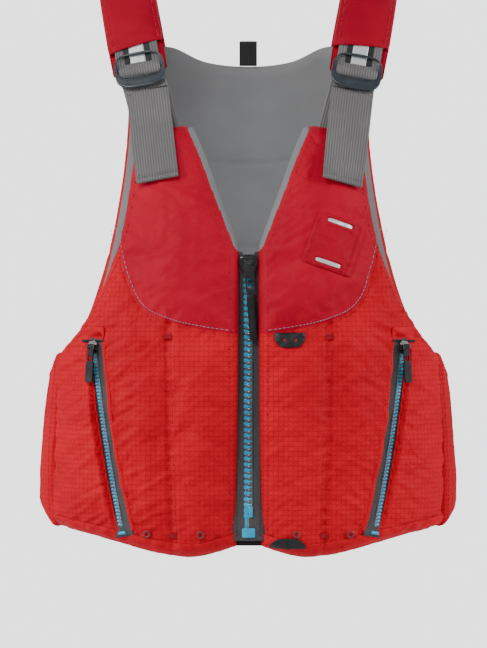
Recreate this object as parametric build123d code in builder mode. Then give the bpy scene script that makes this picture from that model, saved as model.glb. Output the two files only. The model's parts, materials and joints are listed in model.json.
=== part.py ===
from build123d import *
from functools import cache
import math
import os

os.makedirs("parts", exist_ok=True)

# A front-opening paddling life jacket as it hangs on a wearer. +Z is up, the front faces -Y,
# the wearer's left is +X, and Z = 0 is the lowest point of the hem. All sizes are in millimetres.

# ---------------------------------------------------------------- body shape
# height of a section, its half width, and how far it reaches in front of and behind the side line
SECTIONS = (
    (-20, 227, 146, 122),
    (60, 229, 157, 130),
    (150, 223, 166, 137),
    (240, 215, 168, 140),
    (320, 207, 161, 140),
    (400, 200, 142, 136),
    (470, 192, 112, 126),
    (540, 182, 72, 108),
    (600, 170, 40, 88),
)
SIDE_LINE_Y = 15  # the widest line of every section
ROUNDNESS = 2.4  # superellipse exponent of the sections
SECTION_POINTS = 24

# ---------------------------------------------------------------- layers, as depths below the outer surface
COVER = (0.0, 1.5)
POCKET_LINING = (1.8, 2.6)
FOAM = (3.0, 38.0)
LINER = (38.4, 39.6)
BACK_FOAM = (2.0, 32.0)
BACK_LINER = (32.4, 33.6)
SIDE_PAD = (0.4, 17.0)
SHEET = (0.0, 1.5)
BAND = (0.0, 2.6)
BINDING = (-1.3, -0.2)
PATCH = (-3.0, -0.4)
PATCH_BAR = (-1.4, -0.4)
HEM_PATCH = (-2.6, -1.5)
RUBBER = (-2.4, -0.4)
SIDE_WEBBING = (-2.0, -0.3)

# ---------------------------------------------------------------- front panels
SEAM_X = 213  # side seam, where a front panel meets the side panel
SEAM_Y = -54
SEAM_MIDDLE_Z = 120
SEAM_NORMAL = (0.904, -0.427)  # outward, on the wearer's left
HINGE_LEAN = 0.035  # the seam leans back as it rises, so that an opened front falls shut
SEAM_GAP = 0.3
PANEL_EDGE_X = 13
PRINCESS_X = 82
CHANNEL_GAP = 1.0
HEM_BINDING_HEIGHT = 10
EYELET_X = (50, 106)
EYELET_Z = 26

# ---------------------------------------------------------------- zips
ZIP_Y = -132
ZIP_BOTTOM, ZIP_TOP = 44, 318
PIN_BOTTOM = 24.5
BOX_WIDTH, BOX_HEIGHT, BOX_DEPTH = 14, 10, 5.6
TEETH_GAP = 0.7  # half the space between the two rows, which the slider's post runs in
TAPE_THICKNESS = 1.0
FRONT_CHAIN = 3.2  # thickness of the moulded teeth
FRONT_TEETH_WIDTH = 3.2
POCKET_CHAIN = 2.6
POCKET_TEETH_WIDTH = 2.3
POCKET_TOP = (164, 229)
POCKET_BOTTOM = (133, 27)
POCKET_TAPE_HALF = 9
PLATE = 1.5
RUNNING = 0.35
BAR_R = 1.1
EYE_R = 1.35
FRONT_PIVOT_HEIGHT = 7.0  # of a pull's bar above the middle of the chain
POCKET_PIVOT_HEIGHT = 7.2
FRONT_PULL_SWING = 4  # degrees that the long pull hangs towards the wearer's left
POCKET_PULL_LEAN = 0.1  # how far a pocket pull hangs outwards, as a share of its drop

# ---------------------------------------------------------------- shoulder straps
WEBBING = 48
WEBBING_THICKNESS = 1.4
STRAP_X, STRAP_Y, STRAP_Z = 116.8, -69, 520  # middle of the ladder lock
STRAP_LEAN = 10.5  # degrees that a strap leans outwards
STRAP_SLOPE = 27  # degrees that it slopes back at the ladder lock
SLEEVE_WIDTH, SLEEVE_THICKNESS = 60, 12
SLEEVE_PATH = ((-50, 553), (-35, 577), (-10, 606), (27, 629), (62, 618), (82, 594), (86, 564))
SLEEVE_SPLIT_Y = 15
LOCK_WIDTH = 56
RAIL = 3.2
TOP_BAR_T, MIDDLE_BAR_T = 18, 4
BAR_RADIUS = 2.0
LOOP_RADIUS = 3.0  # middle of the webbing's thickness, about a bar
TAIL_PATH = ((-25, -1.2), (-55, -1.6), (-82, -2.2), (-108, -4.0), (-133, -6.8))

# ---------------------------------------------------------------- sides and back
BACK_EDGE_Y = 55  # where the side panels end and the back begins
SIDE_STRAP_Z = (104, 164)
SIDE_STRAP_Y = (44, 132)
SIDE_LOCK_DIRECTION = (0.95, 0.31)  # from the middle of the body
BACK_SPLIT_Z = 240
BACK_HEM_Z = 58
HEM_BAND = (BACK_HEM_Z, BACK_HEM_Z + 25)

# ---------------------------------------------------------------- trim on the wearer's left front
LASH_CENTRE = (89, 331)
LASH_SIZE = (54, 57)
LASH_TILT = -19
LASH_SLOT = (29, 5.4)
LASH_SLOT_CENTRES = ((94.5, 352.5), (81.5, 311))
RUBBER_TAB = (27, 59, 222, 238)
HALF_MOON = (22, 60, 12, 22)


def section_outline(half_width, front, back, inset):
    """Points of one body section, moved inwards by the inset."""
    power = 2 / ROUNDNESS
    for step in range(SECTION_POINTS):
        angle = 2 * math.pi * step / SECTION_POINTS
        across, along = math.cos(angle), math.sin(angle)
        depth = (back if along > 0 else front) - inset
        x = (half_width - inset) * math.copysign(abs(across) ** power, across)
        yield x, SIDE_LINE_Y + depth * math.copysign(abs(along) ** power, along)


def torso(inset):
    """The closed body shape at a depth below the jacket's outer surface."""
    with BuildPart() as body:
        for height, half_width, front, back in SECTIONS:
            with BuildSketch(Plane.XY.offset(height)):
                with BuildLine():
                    Spline(*section_outline(half_width, front, back, inset), periodic=True)
                make_face()
        loft()
    return body.part


@cache
def layer(depths):
    """The skin between two depths, all the way round the body."""
    with BuildPart() as skin:
        add(torso(depths[0]))
        add(torso(depths[1]), mode=Mode.SUBTRACT)
    return skin.part


def save(part, name):
    part.label = name
    export_step(part, f"parts/{name}.step")


OUTER = torso(0)


def surface_plane(x, z, lift=0.0):
    """A plane on the front surface at x and z: its normal points outwards and its x axis is level."""
    hits = OUTER.find_intersection_points(Axis((x, 0, z), (0, -1, 0)))
    point, normal = min(hits, key=lambda hit: hit[0].Y)
    if normal.Y > 0:
        normal = normal * -1
    level = Vector(-normal.Y, normal.X, 0).normalized()
    return Plane(origin=point + normal * lift, x_dir=level, z_dir=normal)


def seam_plane(side, shift):
    """The plane a front panel is cut on at the side seam, through the hinge line. Its normal points back."""
    outward = Vector(side * SEAM_NORMAL[0], SEAM_NORMAL[1], 0)
    backward = Vector(side * -SEAM_NORMAL[1], SEAM_NORMAL[0], 0)
    normal = (backward - Vector(0, 0, 1) * (backward.Y * HINGE_LEAN)).normalized()
    origin = Vector(side * SEAM_X, SEAM_Y, SEAM_MIDDLE_Z) + normal * shift
    return Plane(origin=origin, x_dir=outward, z_dir=normal)


# ================================================================ front panel outlines, seen from the front
def hem_points(side, lift):
    points = ((PANEL_EDGE_X, 14), (35, 7), (60, 2), (95, 6), (150, 19), (SEAM_X - 3, 31))
    return [(side * x, z + lift) for x, z in points]


def front_outline(side):
    """The whole outline of one front panel."""
    armhole = ((SEAM_X, 213), (186, 243), (163, 284), (147, 322), (137, 357), (129, 410), (124, 442))
    top = ((124, 442), (108, 455), (80, 459), (61, 457))
    neckline = ((61, 457), (47, 425), (34, 390), (23, 362), (PANEL_EDGE_X - 3, 328))
    with BuildSketch() as outline:
        with BuildLine():
            Spline(*hem_points(side, 0))
            Line((side * (SEAM_X - 3), 31), (side * SEAM_X, 213))
            for curve in (armhole, top, neckline):
                Spline(*((side * x, z) for x, z in curve))
            Line((side * (PANEL_EDGE_X - 3), 328), (side * PANEL_EDGE_X, 14))
        make_face()
    return outline.sketch


def above_yoke_seam(side, lift):
    """The region above the curved seam of the yoke."""
    seam = ((0, 236), (35, 239), (85, 250), (119, 272), (140, 335), (146, 355))
    with BuildSketch() as region:
        with BuildLine():
            Spline(*((side * x, z + lift) for x, z in seam))
            Polyline((side * 146, 355 + lift), (side * 240, 640), (0, 640), (0, 236 + lift))
        make_face()
    return region.sketch


def strip(side, inner, outer):
    """The upright strip between two distances from the centre line."""
    with BuildSketch() as region:
        with Locations((side * (inner + outer) / 2, 250)):
            Rectangle(outer - inner, 700)
    return region.sketch


def hem_strip(side):
    """The binding along a front panel's hem."""
    with BuildSketch() as region:
        with BuildLine():
            Spline(*hem_points(side, 0))
            Spline(*hem_points(side, HEM_BINDING_HEIGHT))
            for x, z in (hem_points(side, 0)[0], hem_points(side, 0)[-1]):
                Line((x, z), (x, z + HEM_BINDING_HEIGHT))
        make_face()
    return region.sketch


def pocket_frame(side):
    """The plane of a pocket zip, its y axis running up the zip from the bottom, and the zip's length."""
    top = surface_plane(side * POCKET_TOP[0], POCKET_TOP[1]).origin
    bottom = surface_plane(side * POCKET_BOTTOM[0], POCKET_BOTTOM[1]).origin
    normal = surface_plane(side * (POCKET_TOP[0] + POCKET_BOTTOM[0]) / 2, 128).z_dir
    up = top - bottom
    across = up.cross(normal).normalized()
    return Plane(origin=top, x_dir=across, z_dir=across.cross(up.normalized())), up.length


def zip_well(side):
    """The slot in a front panel that its pocket zip lies in."""
    plane, length = pocket_frame(side)
    with BuildPart() as well:
        with BuildSketch(plane.offset(-6)):
            with Locations((0, -length / 2)):
                RectangleRounded(2 * POCKET_TAPE_HALF + 3, length + 14, 6)
        extrude(amount=46)
    return well.part


def front_piece(side, depths, outline, kept=(), cut=(), well=None, seam_shift=-SEAM_GAP):
    """A layer of one front panel, inside the outline and the kept regions and outside the cut ones."""
    with BuildPart() as piece:
        with BuildSketch(Plane.XZ):
            add(outline)
            for region in kept:
                add(region, mode=Mode.INTERSECT)
            for region in cut:
                add(region, mode=Mode.SUBTRACT)
        extrude(amount=220, both=True)
        add(layer(depths), mode=Mode.INTERSECT)
        split(bisect_by=seam_plane(side, seam_shift), keep=Keep.BOTTOM)
        if well:
            add(well, mode=Mode.SUBTRACT)
    return piece.part


def make_front_panel(side, name):
    outline, well = front_outline(side), zip_well(side)
    yoke = above_yoke_seam(side, CHANNEL_GAP / 2)
    upper = above_yoke_seam(side, -CHANNEL_GAP / 2)
    centre = strip(side, 0, PRINCESS_X - CHANNEL_GAP)
    flank = strip(side, PRINCESS_X + CHANNEL_GAP, 260)
    save(front_piece(side, FOAM, outline, [yoke]), f"{name}_yoke_foam")
    save(front_piece(side, COVER, outline, [yoke]), f"{name}_yoke_cover")
    save(front_piece(side, FOAM, outline, [centre], [upper]), f"{name}_centre_foam")
    save(front_piece(side, FOAM, outline, [flank], [upper], well), f"{name}_side_foam")
    save(front_piece(side, COVER, outline, [], [upper], well), f"{name}_front_cover")
    save(front_piece(side, LINER, outline), f"{name}_front_liner")
    pocket = strip(side, 90, 200)
    save(front_piece(side, POCKET_LINING, outline, [pocket], [upper], well), f"{name}_pocket_lining")
    save(front_piece(side, BINDING, hem_strip(side), well=well, seam_shift=-4), f"{name}_hem_binding")

    with BuildPart() as eyelets:
        for x in EYELET_X:
            with BuildSketch(surface_plane(side * x, EYELET_Z, 0.3)):
                Circle(4.2)
                Circle(2.2, mode=Mode.SUBTRACT)
            extrude(amount=1.2)
    save(eyelets.part, f"{name}_hem_eyelets")


# ================================================================ zips
def slider(plane, pull_plane, width, length, chain, pivot_height, name):
    """A zip slider: two plates on a post, with lugs and a bar for the pull."""
    half_gap = chain / 2 + RUNNING
    lug_gap, lug = 6.4, 1.2
    top_face = half_gap + PLATE
    with BuildPart() as body:
        for start in (half_gap, -half_gap - PLATE):
            with BuildSketch(plane.offset(start)):
                with BuildLine():
                    tail, shoulder, head = width * 0.36, width / 2, width * 0.3
                    Polyline((-tail, -length / 2), (tail, -length / 2), (shoulder, length * 0.2),
                             (head, length / 2), (-head, length / 2), (-shoulder, length * 0.2), close=True)
                make_face()
            extrude(amount=PLATE)
        with BuildSketch(plane.offset(-half_gap - 0.1)):
            with Locations((0, length * 0.34)):
                Rectangle(0.8, length * 0.3)
        extrude(amount=2 * half_gap + 0.2)
        with BuildSketch(pull_plane.offset(top_face - 0.2)):
            with Locations((-(lug_gap + lug) / 2, 0), ((lug_gap + lug) / 2, 0)):
                Rectangle(lug, 5)
        extrude(amount=pivot_height - top_face + BAR_R + 0.9)
        side_plane = Plane(origin=pull_plane.origin + pull_plane.z_dir * pivot_height,
                           x_dir=pull_plane.y_dir, z_dir=pull_plane.x_dir)
        with BuildSketch(side_plane.offset(-lug_gap / 2 - lug)):
            Circle(BAR_R)
        extrude(amount=lug_gap + 2 * lug)
    save(body.part, name)


def pull(pull_plane, pivot_height, length, width, name, tab_length=0):
    """A pull: an eye on the slider's bar, a slotted frame below it, and on a short pull the moulded tab."""
    thickness = 2.0
    eye_outer = EYE_R + 0.9
    origin = pull_plane.origin + pull_plane.z_dir * pivot_height
    side_plane = Plane(origin=origin, x_dir=pull_plane.y_dir, z_dir=pull_plane.x_dir)
    flat = Plane(origin=origin, x_dir=pull_plane.x_dir, z_dir=pull_plane.z_dir)
    with BuildPart() as piece:
        with BuildSketch(side_plane.offset(-2.9)):
            Circle(eye_outer)
            with Locations((-eye_outer - 0.6, 0)):
                Rectangle(4.2, thickness)
        extrude(amount=5.8)
        with BuildSketch(flat.offset(-thickness / 2)):
            with Locations((0, -length / 2 - 2)):
                RectangleRounded(width, length - 2, width * 0.3)
                with Locations((0, -length * 0.18)):
                    RectangleRounded(width * 0.56, length * 0.36, 1.0, mode=Mode.SUBTRACT)
        extrude(amount=thickness)
        if tab_length:
            with BuildSketch(flat.offset(-1.5)):
                with Locations((0, -length - tab_length / 2)):
                    RectangleRounded(9, tab_length, 3)
            extrude(amount=3)
        with BuildSketch(side_plane.offset(-width)):
            Circle(EYE_R)
        extrude(amount=2 * width, mode=Mode.SUBTRACT)
    save(piece.part, name)


def tab(pull_plane, pivot_height, start, length, width, thickness, name):
    """The moulded rubber tab below a pull, hanging from its frame."""
    origin = pull_plane.origin + pull_plane.z_dir * pivot_height
    flat = Plane(origin=origin, x_dir=pull_plane.x_dir, z_dir=pull_plane.z_dir)
    with BuildPart() as piece:
        with BuildSketch(flat.offset(-thickness / 2)):
            with Locations((0, -start - length / 2)):
                RectangleRounded(width, length, width * 0.35)
        extrude(amount=thickness)
    save(piece.part, name)


def make_front_zip():
    for side, name in ((-1, "right"), (1, "left")):
        with BuildPart() as tape:
            with BuildSketch(Plane.XZ.offset(-ZIP_Y - TAPE_THICKNESS / 2)):
                with Locations((side * (4.0 + PANEL_EDGE_X - 3.3) / 2, (20 + ZIP_TOP + 4) / 2)):
                    Rectangle(PANEL_EDGE_X - 3.3 - 4.0, ZIP_TOP + 4 - 20)
            extrude(amount=TAPE_THICKNESS)
        save(tape.part, f"{name}_zip_tape")
        with BuildPart() as teeth:
            with BuildSketch(Plane.XZ.offset(-ZIP_Y - FRONT_CHAIN / 2)):
                with Locations((side * (TEETH_GAP + FRONT_TEETH_WIDTH / 2), (ZIP_BOTTOM + ZIP_TOP) / 2)):
                    Rectangle(FRONT_TEETH_WIDTH, ZIP_TOP - ZIP_BOTTOM)
            extrude(amount=FRONT_CHAIN)
        save(teeth.part, f"{name}_zip_teeth")

    box_middle = PIN_BOTTOM + BOX_HEIGHT / 2 - 2
    with BuildPart() as box:
        with BuildSketch(Plane.XZ.offset(-ZIP_Y - BOX_DEPTH / 2)):
            with Locations((0, box_middle)):
                RectangleRounded(BOX_WIDTH, BOX_HEIGHT, 1.5)
        extrude(amount=BOX_DEPTH)
        with BuildSketch(Plane.XZ.offset(-ZIP_Y - 1.6)):
            with Locations((-2.8, PIN_BOTTOM + 10)):
                Rectangle(4.6, 21)
        extrude(amount=3.2, mode=Mode.SUBTRACT)
        for side in (-1, 1):
            with BuildSketch(Plane.XZ.offset(-ZIP_Y - 0.8)):
                with Locations((side * 8, box_middle)):
                    Rectangle(8.8, 14)
            extrude(amount=1.6, mode=Mode.SUBTRACT)
    save(box.part, "zip_retainer_box")
    with BuildPart() as pin:
        with BuildSketch(Plane.XZ.offset(-ZIP_Y - 1.2)):
            with Locations((-2.4, (PIN_BOTTOM + ZIP_BOTTOM) / 2)):
                Rectangle(3.2, ZIP_BOTTOM - PIN_BOTTOM)
        extrude(amount=2.4)
    save(pin.part, "zip_insertion_pin")

    chain_plane = Plane(origin=(0, ZIP_Y, 310), x_dir=(1, 0, 0), z_dir=(0, -1, 0))
    swing = math.radians(FRONT_PULL_SWING)
    pull_plane = Plane(origin=(0, ZIP_Y, 312), x_dir=(math.cos(swing), 0, math.sin(swing)), z_dir=(0, -1, 0))
    slider(chain_plane, pull_plane, 17, 20, FRONT_CHAIN, FRONT_PIVOT_HEIGHT, "front_zip_slider")
    pull(pull_plane, FRONT_PIVOT_HEIGHT, 32, 10, "front_zip_pull")
    tab(pull_plane, FRONT_PIVOT_HEIGHT, 34, 48, 9.0, 3.4, "front_zip_tab")

    with BuildPart() as stay:
        with BuildSketch(Plane.XZ.offset(-ZIP_Y - 11.5)):
            with Locations((0, 20)):
                Rectangle(24, 13)
        extrude(amount=1.4)
    save(stay.part, "zip_base_stay")


def make_pocket_zip(side, name):
    plane, length = pocket_frame(side)
    tape_inner = TEETH_GAP + POCKET_TEETH_WIDTH + 0.1
    with BuildPart() as chain:
        for half in (-1, 1):
            with BuildSketch(plane.offset(-TAPE_THICKNESS / 2)):
                with Locations((half * (tape_inner + POCKET_TAPE_HALF) / 2, -length / 2)):
                    Rectangle(POCKET_TAPE_HALF - tape_inner, length + 6)
            extrude(amount=TAPE_THICKNESS)
            with BuildSketch(plane.offset(-POCKET_CHAIN / 2)):
                with Locations((half * (TEETH_GAP + POCKET_TEETH_WIDTH / 2), -length / 2 + 2)):
                    Rectangle(POCKET_TEETH_WIDTH, length - 4)
            extrude(amount=POCKET_CHAIN)
        with BuildSketch(plane.offset(-POCKET_CHAIN / 2)):
            with Locations((0, -length - 0.7)):
                RectangleRounded(2 * tape_inner - 0.2, 4, 1)
        extrude(amount=POCKET_CHAIN)
    save(chain.part, f"{name}_pocket_zip")

    slider_centre = -6
    slider_plane = plane.shift_origin(plane.from_local_coords((0, slider_centre, 0)))
    down = Vector(side * POCKET_PULL_LEAN, 0, -1)  # the pull hangs beside the zip
    down = (down - plane.z_dir * down.dot(plane.z_dir)).normalized()
    across = (down * -1).cross(plane.z_dir).normalized()
    pull_plane = Plane(origin=slider_plane.origin, x_dir=across, z_dir=plane.z_dir)
    slider(slider_plane, pull_plane, 12, 13, POCKET_CHAIN, POCKET_PIVOT_HEIGHT, f"{name}_pocket_slider")
    pull(pull_plane, POCKET_PIVOT_HEIGHT, 15, 7.5, f"{name}_pocket_pull", tab_length=23)
    pivot = pull_plane.origin + pull_plane.z_dir * POCKET_PIVOT_HEIGHT
    print(name, "pocket zip", [round(v, 2) for v in plane.origin], "up", [round(v, 4) for v in plane.y_dir],
          "length", round(length, 2), "normal", [round(v, 4) for v in plane.z_dir])
    print(name, "pocket pull pivot", [round(v, 2) for v in pivot],
          "axis", [round(v, 4) for v in pull_plane.x_dir])


# ================================================================ shoulder straps
def strap_frame(side):
    """The plane that a strap's side profile is drawn on: y back, v up along the leaning strap."""
    lean = math.radians(STRAP_LEAN)
    up = Vector(side * math.sin(lean), 0, math.cos(lean))
    return Plane(origin=(side * STRAP_X, 0, STRAP_Z), x_dir=(0, 1, 0), z_dir=Vector(0, 1, 0).cross(up))


def lock_frame(side):
    """The plane of the ladder lock's side profile: t up the strap, n outwards."""
    lean, slope = math.radians(STRAP_LEAN), math.radians(STRAP_SLOPE)
    up = Vector(side * math.sin(lean), 0, math.cos(lean))
    back = Vector(0, 1, 0)
    along = back * math.sin(slope) + up * math.cos(slope)
    outward = back * -math.cos(slope) + up * math.sin(slope)
    return Plane(origin=(side * STRAP_X, STRAP_Y, STRAP_Z), x_dir=along, z_dir=along.cross(outward))


def shoulder_pad(side, shift, keep):
    """The part of a shoulder pad on one side of its split."""
    to_v = 1 / math.cos(math.radians(STRAP_LEAN))
    with BuildPart() as pad:
        with BuildSketch(strap_frame(side)):
            with BuildLine():
                Spline(*((y, (z - STRAP_Z) * to_v) for y, z in SLEEVE_PATH))
            trace(line_width=SLEEVE_THICKNESS)
        extrude(amount=SLEEVE_WIDTH / 2, both=True)
        split(bisect_by=Plane.XZ.offset(-SLEEVE_SPLIT_Y + shift), keep=keep)
    return pad.part


def make_rear_shoulder_pads():
    with BuildPart() as pads:
        for side in (-1, 1):
            add(shoulder_pad(side, -0.4, Keep.BOTTOM))
    save(pads.part, "rear_shoulder_pads")


def make_shoulder_strap(side, name):
    save(shoulder_pad(side, 0.4, Keep.TOP), f"{name}_front_shoulder_pad")

    plane = lock_frame(side)
    with BuildPart() as webbing:
        with BuildSketch(plane):
            with BuildLine():
                Line((33, LOOP_RADIUS), (TOP_BAR_T, LOOP_RADIUS))
                CenterArc((TOP_BAR_T, 0), LOOP_RADIUS, 90, 180)
                Line((TOP_BAR_T, -LOOP_RADIUS), (33, -LOOP_RADIUS))
            trace(line_width=WEBBING_THICKNESS)
        extrude(amount=WEBBING / 2, both=True)
    save(webbing.part, f"{name}_shoulder_webbing")

    with BuildPart() as lock:
        for bar_t in (TOP_BAR_T, MIDDLE_BAR_T):
            with BuildSketch(plane):
                with Locations((bar_t, 0)):
                    Circle(BAR_RADIUS)
            extrude(amount=LOCK_WIDTH / 2, both=True)
        with BuildSketch(plane):
            with BuildLine():
                ThreePointArc((-8, 2.2), (-16, 5.6), (-24, 2.0))
                Line((-24, 2.0), (-23, 0.6))
                ThreePointArc((-23, 0.6), (-15.5, 2.2), (-8.4, 0.8))
                Line((-8.4, 0.8), (-8, 2.2))
            make_face()
        extrude(amount=LOCK_WIDTH / 2, both=True)
        for start in (-LOCK_WIDTH / 2, LOCK_WIDTH / 2 - RAIL):
            with BuildSketch(plane.offset(start)):
                with BuildLine():
                    Polyline((TOP_BAR_T + 3, 1), (TOP_BAR_T + 1, 3), (-8, 4.4), (-16, 5.4), (-23.5, 2.2),
                             (-23, 0), (-8, -2.4), (TOP_BAR_T, -2.4), (TOP_BAR_T + 3, -1), close=True)
                make_face()
            extrude(amount=RAIL)
    save(lock.part, f"{name}_ladder_lock")

    with BuildPart() as wrap:
        with BuildSketch(plane):
            with BuildLine():
                Spline((-24, -1.2), (-14, -1.2), (-6, -0.6), (MIDDLE_BAR_T, LOOP_RADIUS),
                       tangents=((1, 0), (1, 0)))
                CenterArc((MIDDLE_BAR_T, 0), LOOP_RADIUS, 90, -180)
                Line((MIDDLE_BAR_T, -LOOP_RADIUS), (-4, -LOOP_RADIUS - 1.0))
            trace(line_width=WEBBING_THICKNESS)
        extrude(amount=WEBBING / 2, both=True)
    save(wrap.part, f"{name}_webbing_wrap")

    with BuildPart() as tail:
        with BuildSketch(plane):
            with BuildLine():
                Spline(*TAIL_PATH)
            trace(line_width=WEBBING_THICKNESS)
        extrude(amount=WEBBING / 2, both=True)
    save(tail.part, f"{name}_strap_tail")

    with BuildPart() as chest:
        with BuildSketch(plane):
            with BuildLine():
                Spline((-5.2, -4.3), (-30, -4.6), (-66, -5.6))
            trace(line_width=WEBBING_THICKNESS)
        extrude(amount=WEBBING / 2, both=True)
    save(chest.part, f"{name}_chest_webbing")
    hinge_top = plane.from_local_coords((TOP_BAR_T, 0, 0))
    hinge_tail = plane.from_local_coords((TAIL_PATH[0][0] + 0.5, TAIL_PATH[0][1], 0))
    print(name, "lock hinge", [round(v, 2) for v in hinge_top],
          "tail hinge", [round(v, 2) for v in hinge_tail], "axis", [round(v, 4) for v in plane.z_dir])


# ================================================================ sides and back
def make_side(side, name):
    with BuildPart() as panel:
        with BuildSketch(Plane.YZ):
            with BuildLine():
                Spline((-75, 25), (-50, 30), (-15, 48), (25, 57), (BACK_EDGE_Y + 5, BACK_HEM_Z))
                Line((BACK_EDGE_Y + 5, BACK_HEM_Z), (BACK_EDGE_Y + 5, 202))
                Spline((BACK_EDGE_Y + 5, 202), (15, 194), (-30, 199), (-75, 222))
                Line((-75, 222), (-75, 25))
            make_face()
        extrude(amount=side * 240)
        add(layer(SIDE_PAD), mode=Mode.INTERSECT)
        split(bisect_by=seam_plane(side, SEAM_GAP), keep=Keep.TOP)
        split(bisect_by=Plane.XZ.offset(-BACK_EDGE_Y + 0.4), keep=Keep.TOP)
    save(panel.part, f"{name}_side_panel")


def side_lock_plane(side, height):
    """A plane on the rear quarter of the body, where a side adjuster's ladder lock lies on its strap."""
    ray = Axis((0, SIDE_LINE_Y, height), (side * SIDE_LOCK_DIRECTION[0], SIDE_LOCK_DIRECTION[1], 0))
    point, normal = max(OUTER.find_intersection_points(ray), key=lambda hit: hit[0].X * side)
    if normal.X * side < 0:
        normal = normal * -1
    level = Vector(-normal.Y, normal.X, 0).normalized()
    return Plane(origin=point + normal * (0.3 - SIDE_WEBBING[0]), x_dir=level, z_dir=normal)


def make_side_adjusters():
    with BuildPart() as straps:
        for height in SIDE_STRAP_Z:
            with BuildSketch(Plane.YZ):
                with Locations((sum(SIDE_STRAP_Y) / 2, height)):
                    Rectangle(SIDE_STRAP_Y[1] - SIDE_STRAP_Y[0], 25)
            extrude(amount=240, both=True)
        add(layer(SIDE_WEBBING), mode=Mode.INTERSECT)
    save(straps.part, "side_straps")

    with BuildPart() as locks:
        for side in (-1, 1):
            for height in SIDE_STRAP_Z:
                with BuildSketch(side_lock_plane(side, height)):
                    RectangleRounded(34, 34, 4)
                    with Locations((-10, 0), (0, 0), (10, 0)):
                        Rectangle(6, 26, mode=Mode.SUBTRACT)
                extrude(amount=3.4)
    save(locks.part, "side_ladder_locks")


def back_piece(depths, outline):
    """A layer of the back, cut to a closed outline seen from behind."""
    with BuildPart() as piece:
        with BuildSketch(Plane.XZ):
            add(outline)
        extrude(amount=-220)
        add(layer(depths), mode=Mode.INTERSECT)
        split(bisect_by=Plane.XZ.offset(-BACK_EDGE_Y), keep=Keep.BOTTOM)
    return piece.part


def upper_back_outline():
    with BuildSketch() as outline:
        with BuildLine():
            Spline((-88, 560), (-50, 545), (0, 540), (50, 545), (88, 560))
            for side in (-1, 1):
                Line((side * 88, 560), (side * 148, 558))
                armhole = ((148, 558), (142, 500), (148, 420), (165, 330), (186, 262), (200, BACK_SPLIT_Z))
                Spline(*((side * x, z) for x, z in armhole))
            Line((-200, BACK_SPLIT_Z), (200, BACK_SPLIT_Z))
        make_face()
    return outline.sketch


def lower_back_outline():
    with BuildSketch() as outline:
        with BuildLine():
            low, high = HEM_BAND[1] + 0.5, BACK_SPLIT_Z - 0.5
            Polyline((-232, low), (232, low), (232, 200), (198, high), (-198, high), (-232, 200), close=True)
        make_face()
    return outline.sketch


def hem_band_outline():
    with BuildSketch() as outline:
        with Locations((0, sum(HEM_BAND) / 2)):
            Rectangle(470, HEM_BAND[1] - HEM_BAND[0])
    return outline.sketch


def make_back():
    save(back_piece(BACK_FOAM, upper_back_outline()), "back_foam")
    save(back_piece(COVER, upper_back_outline()), "back_cover")
    save(back_piece(BACK_LINER, upper_back_outline()), "back_liner")
    save(back_piece(SHEET, lower_back_outline()), "back_mesh")
    save(back_piece(BAND, hem_band_outline()), "back_hem_band")

    with BuildPart() as loop:
        with BuildSketch(Plane.YZ):
            with BuildLine():
                Line((97, 541), (97, 562))
                CenterArc((103, 562), 6, 180, -180)
                Line((109, 562), (109, 541))
            trace(line_width=1.6)
        extrude(amount=10, both=True)
    save(loop.part, "hang_loop")


# ================================================================ trim on the wearer's left front
def on_surface(depths, outline):
    """A patch on the front surface, cut to an outline."""
    with BuildPart() as piece:
        with BuildSketch(Plane.XZ):
            add(outline)
        extrude(amount=220)
        add(layer(depths), mode=Mode.INTERSECT)
    return piece.part


def make_trim():
    slot_places = [Location((x, z), LASH_TILT) for x, z in LASH_SLOT_CENTRES]
    slot_length, slot_height = LASH_SLOT
    with BuildSketch() as patch:
        with Locations(Location(LASH_CENTRE, LASH_TILT)):
            RectangleRounded(*LASH_SIZE, 4)
        with Locations(*slot_places):
            RectangleRounded(slot_length, slot_height, slot_height * 0.48, mode=Mode.SUBTRACT)
    with BuildSketch() as bars:
        with Locations(*slot_places):
            RectangleRounded(slot_length - 0.6, slot_height - 0.6, slot_height * 0.42)
    with BuildPart() as lash_patch:
        add(on_surface(PATCH, patch.sketch))
        add(on_surface(PATCH_BAR, bars.sketch))
    save(lash_patch.part, "lash_patch")

    left, right, low, high = RUBBER_TAB
    with BuildSketch() as rubber:
        with Locations(((left + right) / 2, (low + high) / 2)):
            RectangleRounded(right - left, high - low, 6)
        with Locations(((left + right) / 2, high - 3.5)):
            Rectangle(right - left, 7)
    save(on_surface(RUBBER, rubber.sketch), "rubber_lash_tab")

    left, right, low, high = HALF_MOON
    with BuildSketch() as moon:
        with BuildLine():
            ThreePointArc((left, low), ((left + right) / 2, high), (right, low))
            Line((right, low), (left, low))
        make_face()
    save(on_surface(HEM_PATCH, moon.sketch), "hem_half_moon")


for side, name in ((-1, "right"), (1, "left")):
    make_front_panel(side, name)
    make_pocket_zip(side, name)
    make_shoulder_strap(side, name)
    make_side(side, name)
make_rear_shoulder_pads()
make_side_adjusters()
make_front_zip()
make_back()
make_trim()
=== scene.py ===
import json
import math

import bpy
import numpy as np
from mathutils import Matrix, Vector, kdtree, noise
from mathutils.bvhtree import BVHTree

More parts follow.
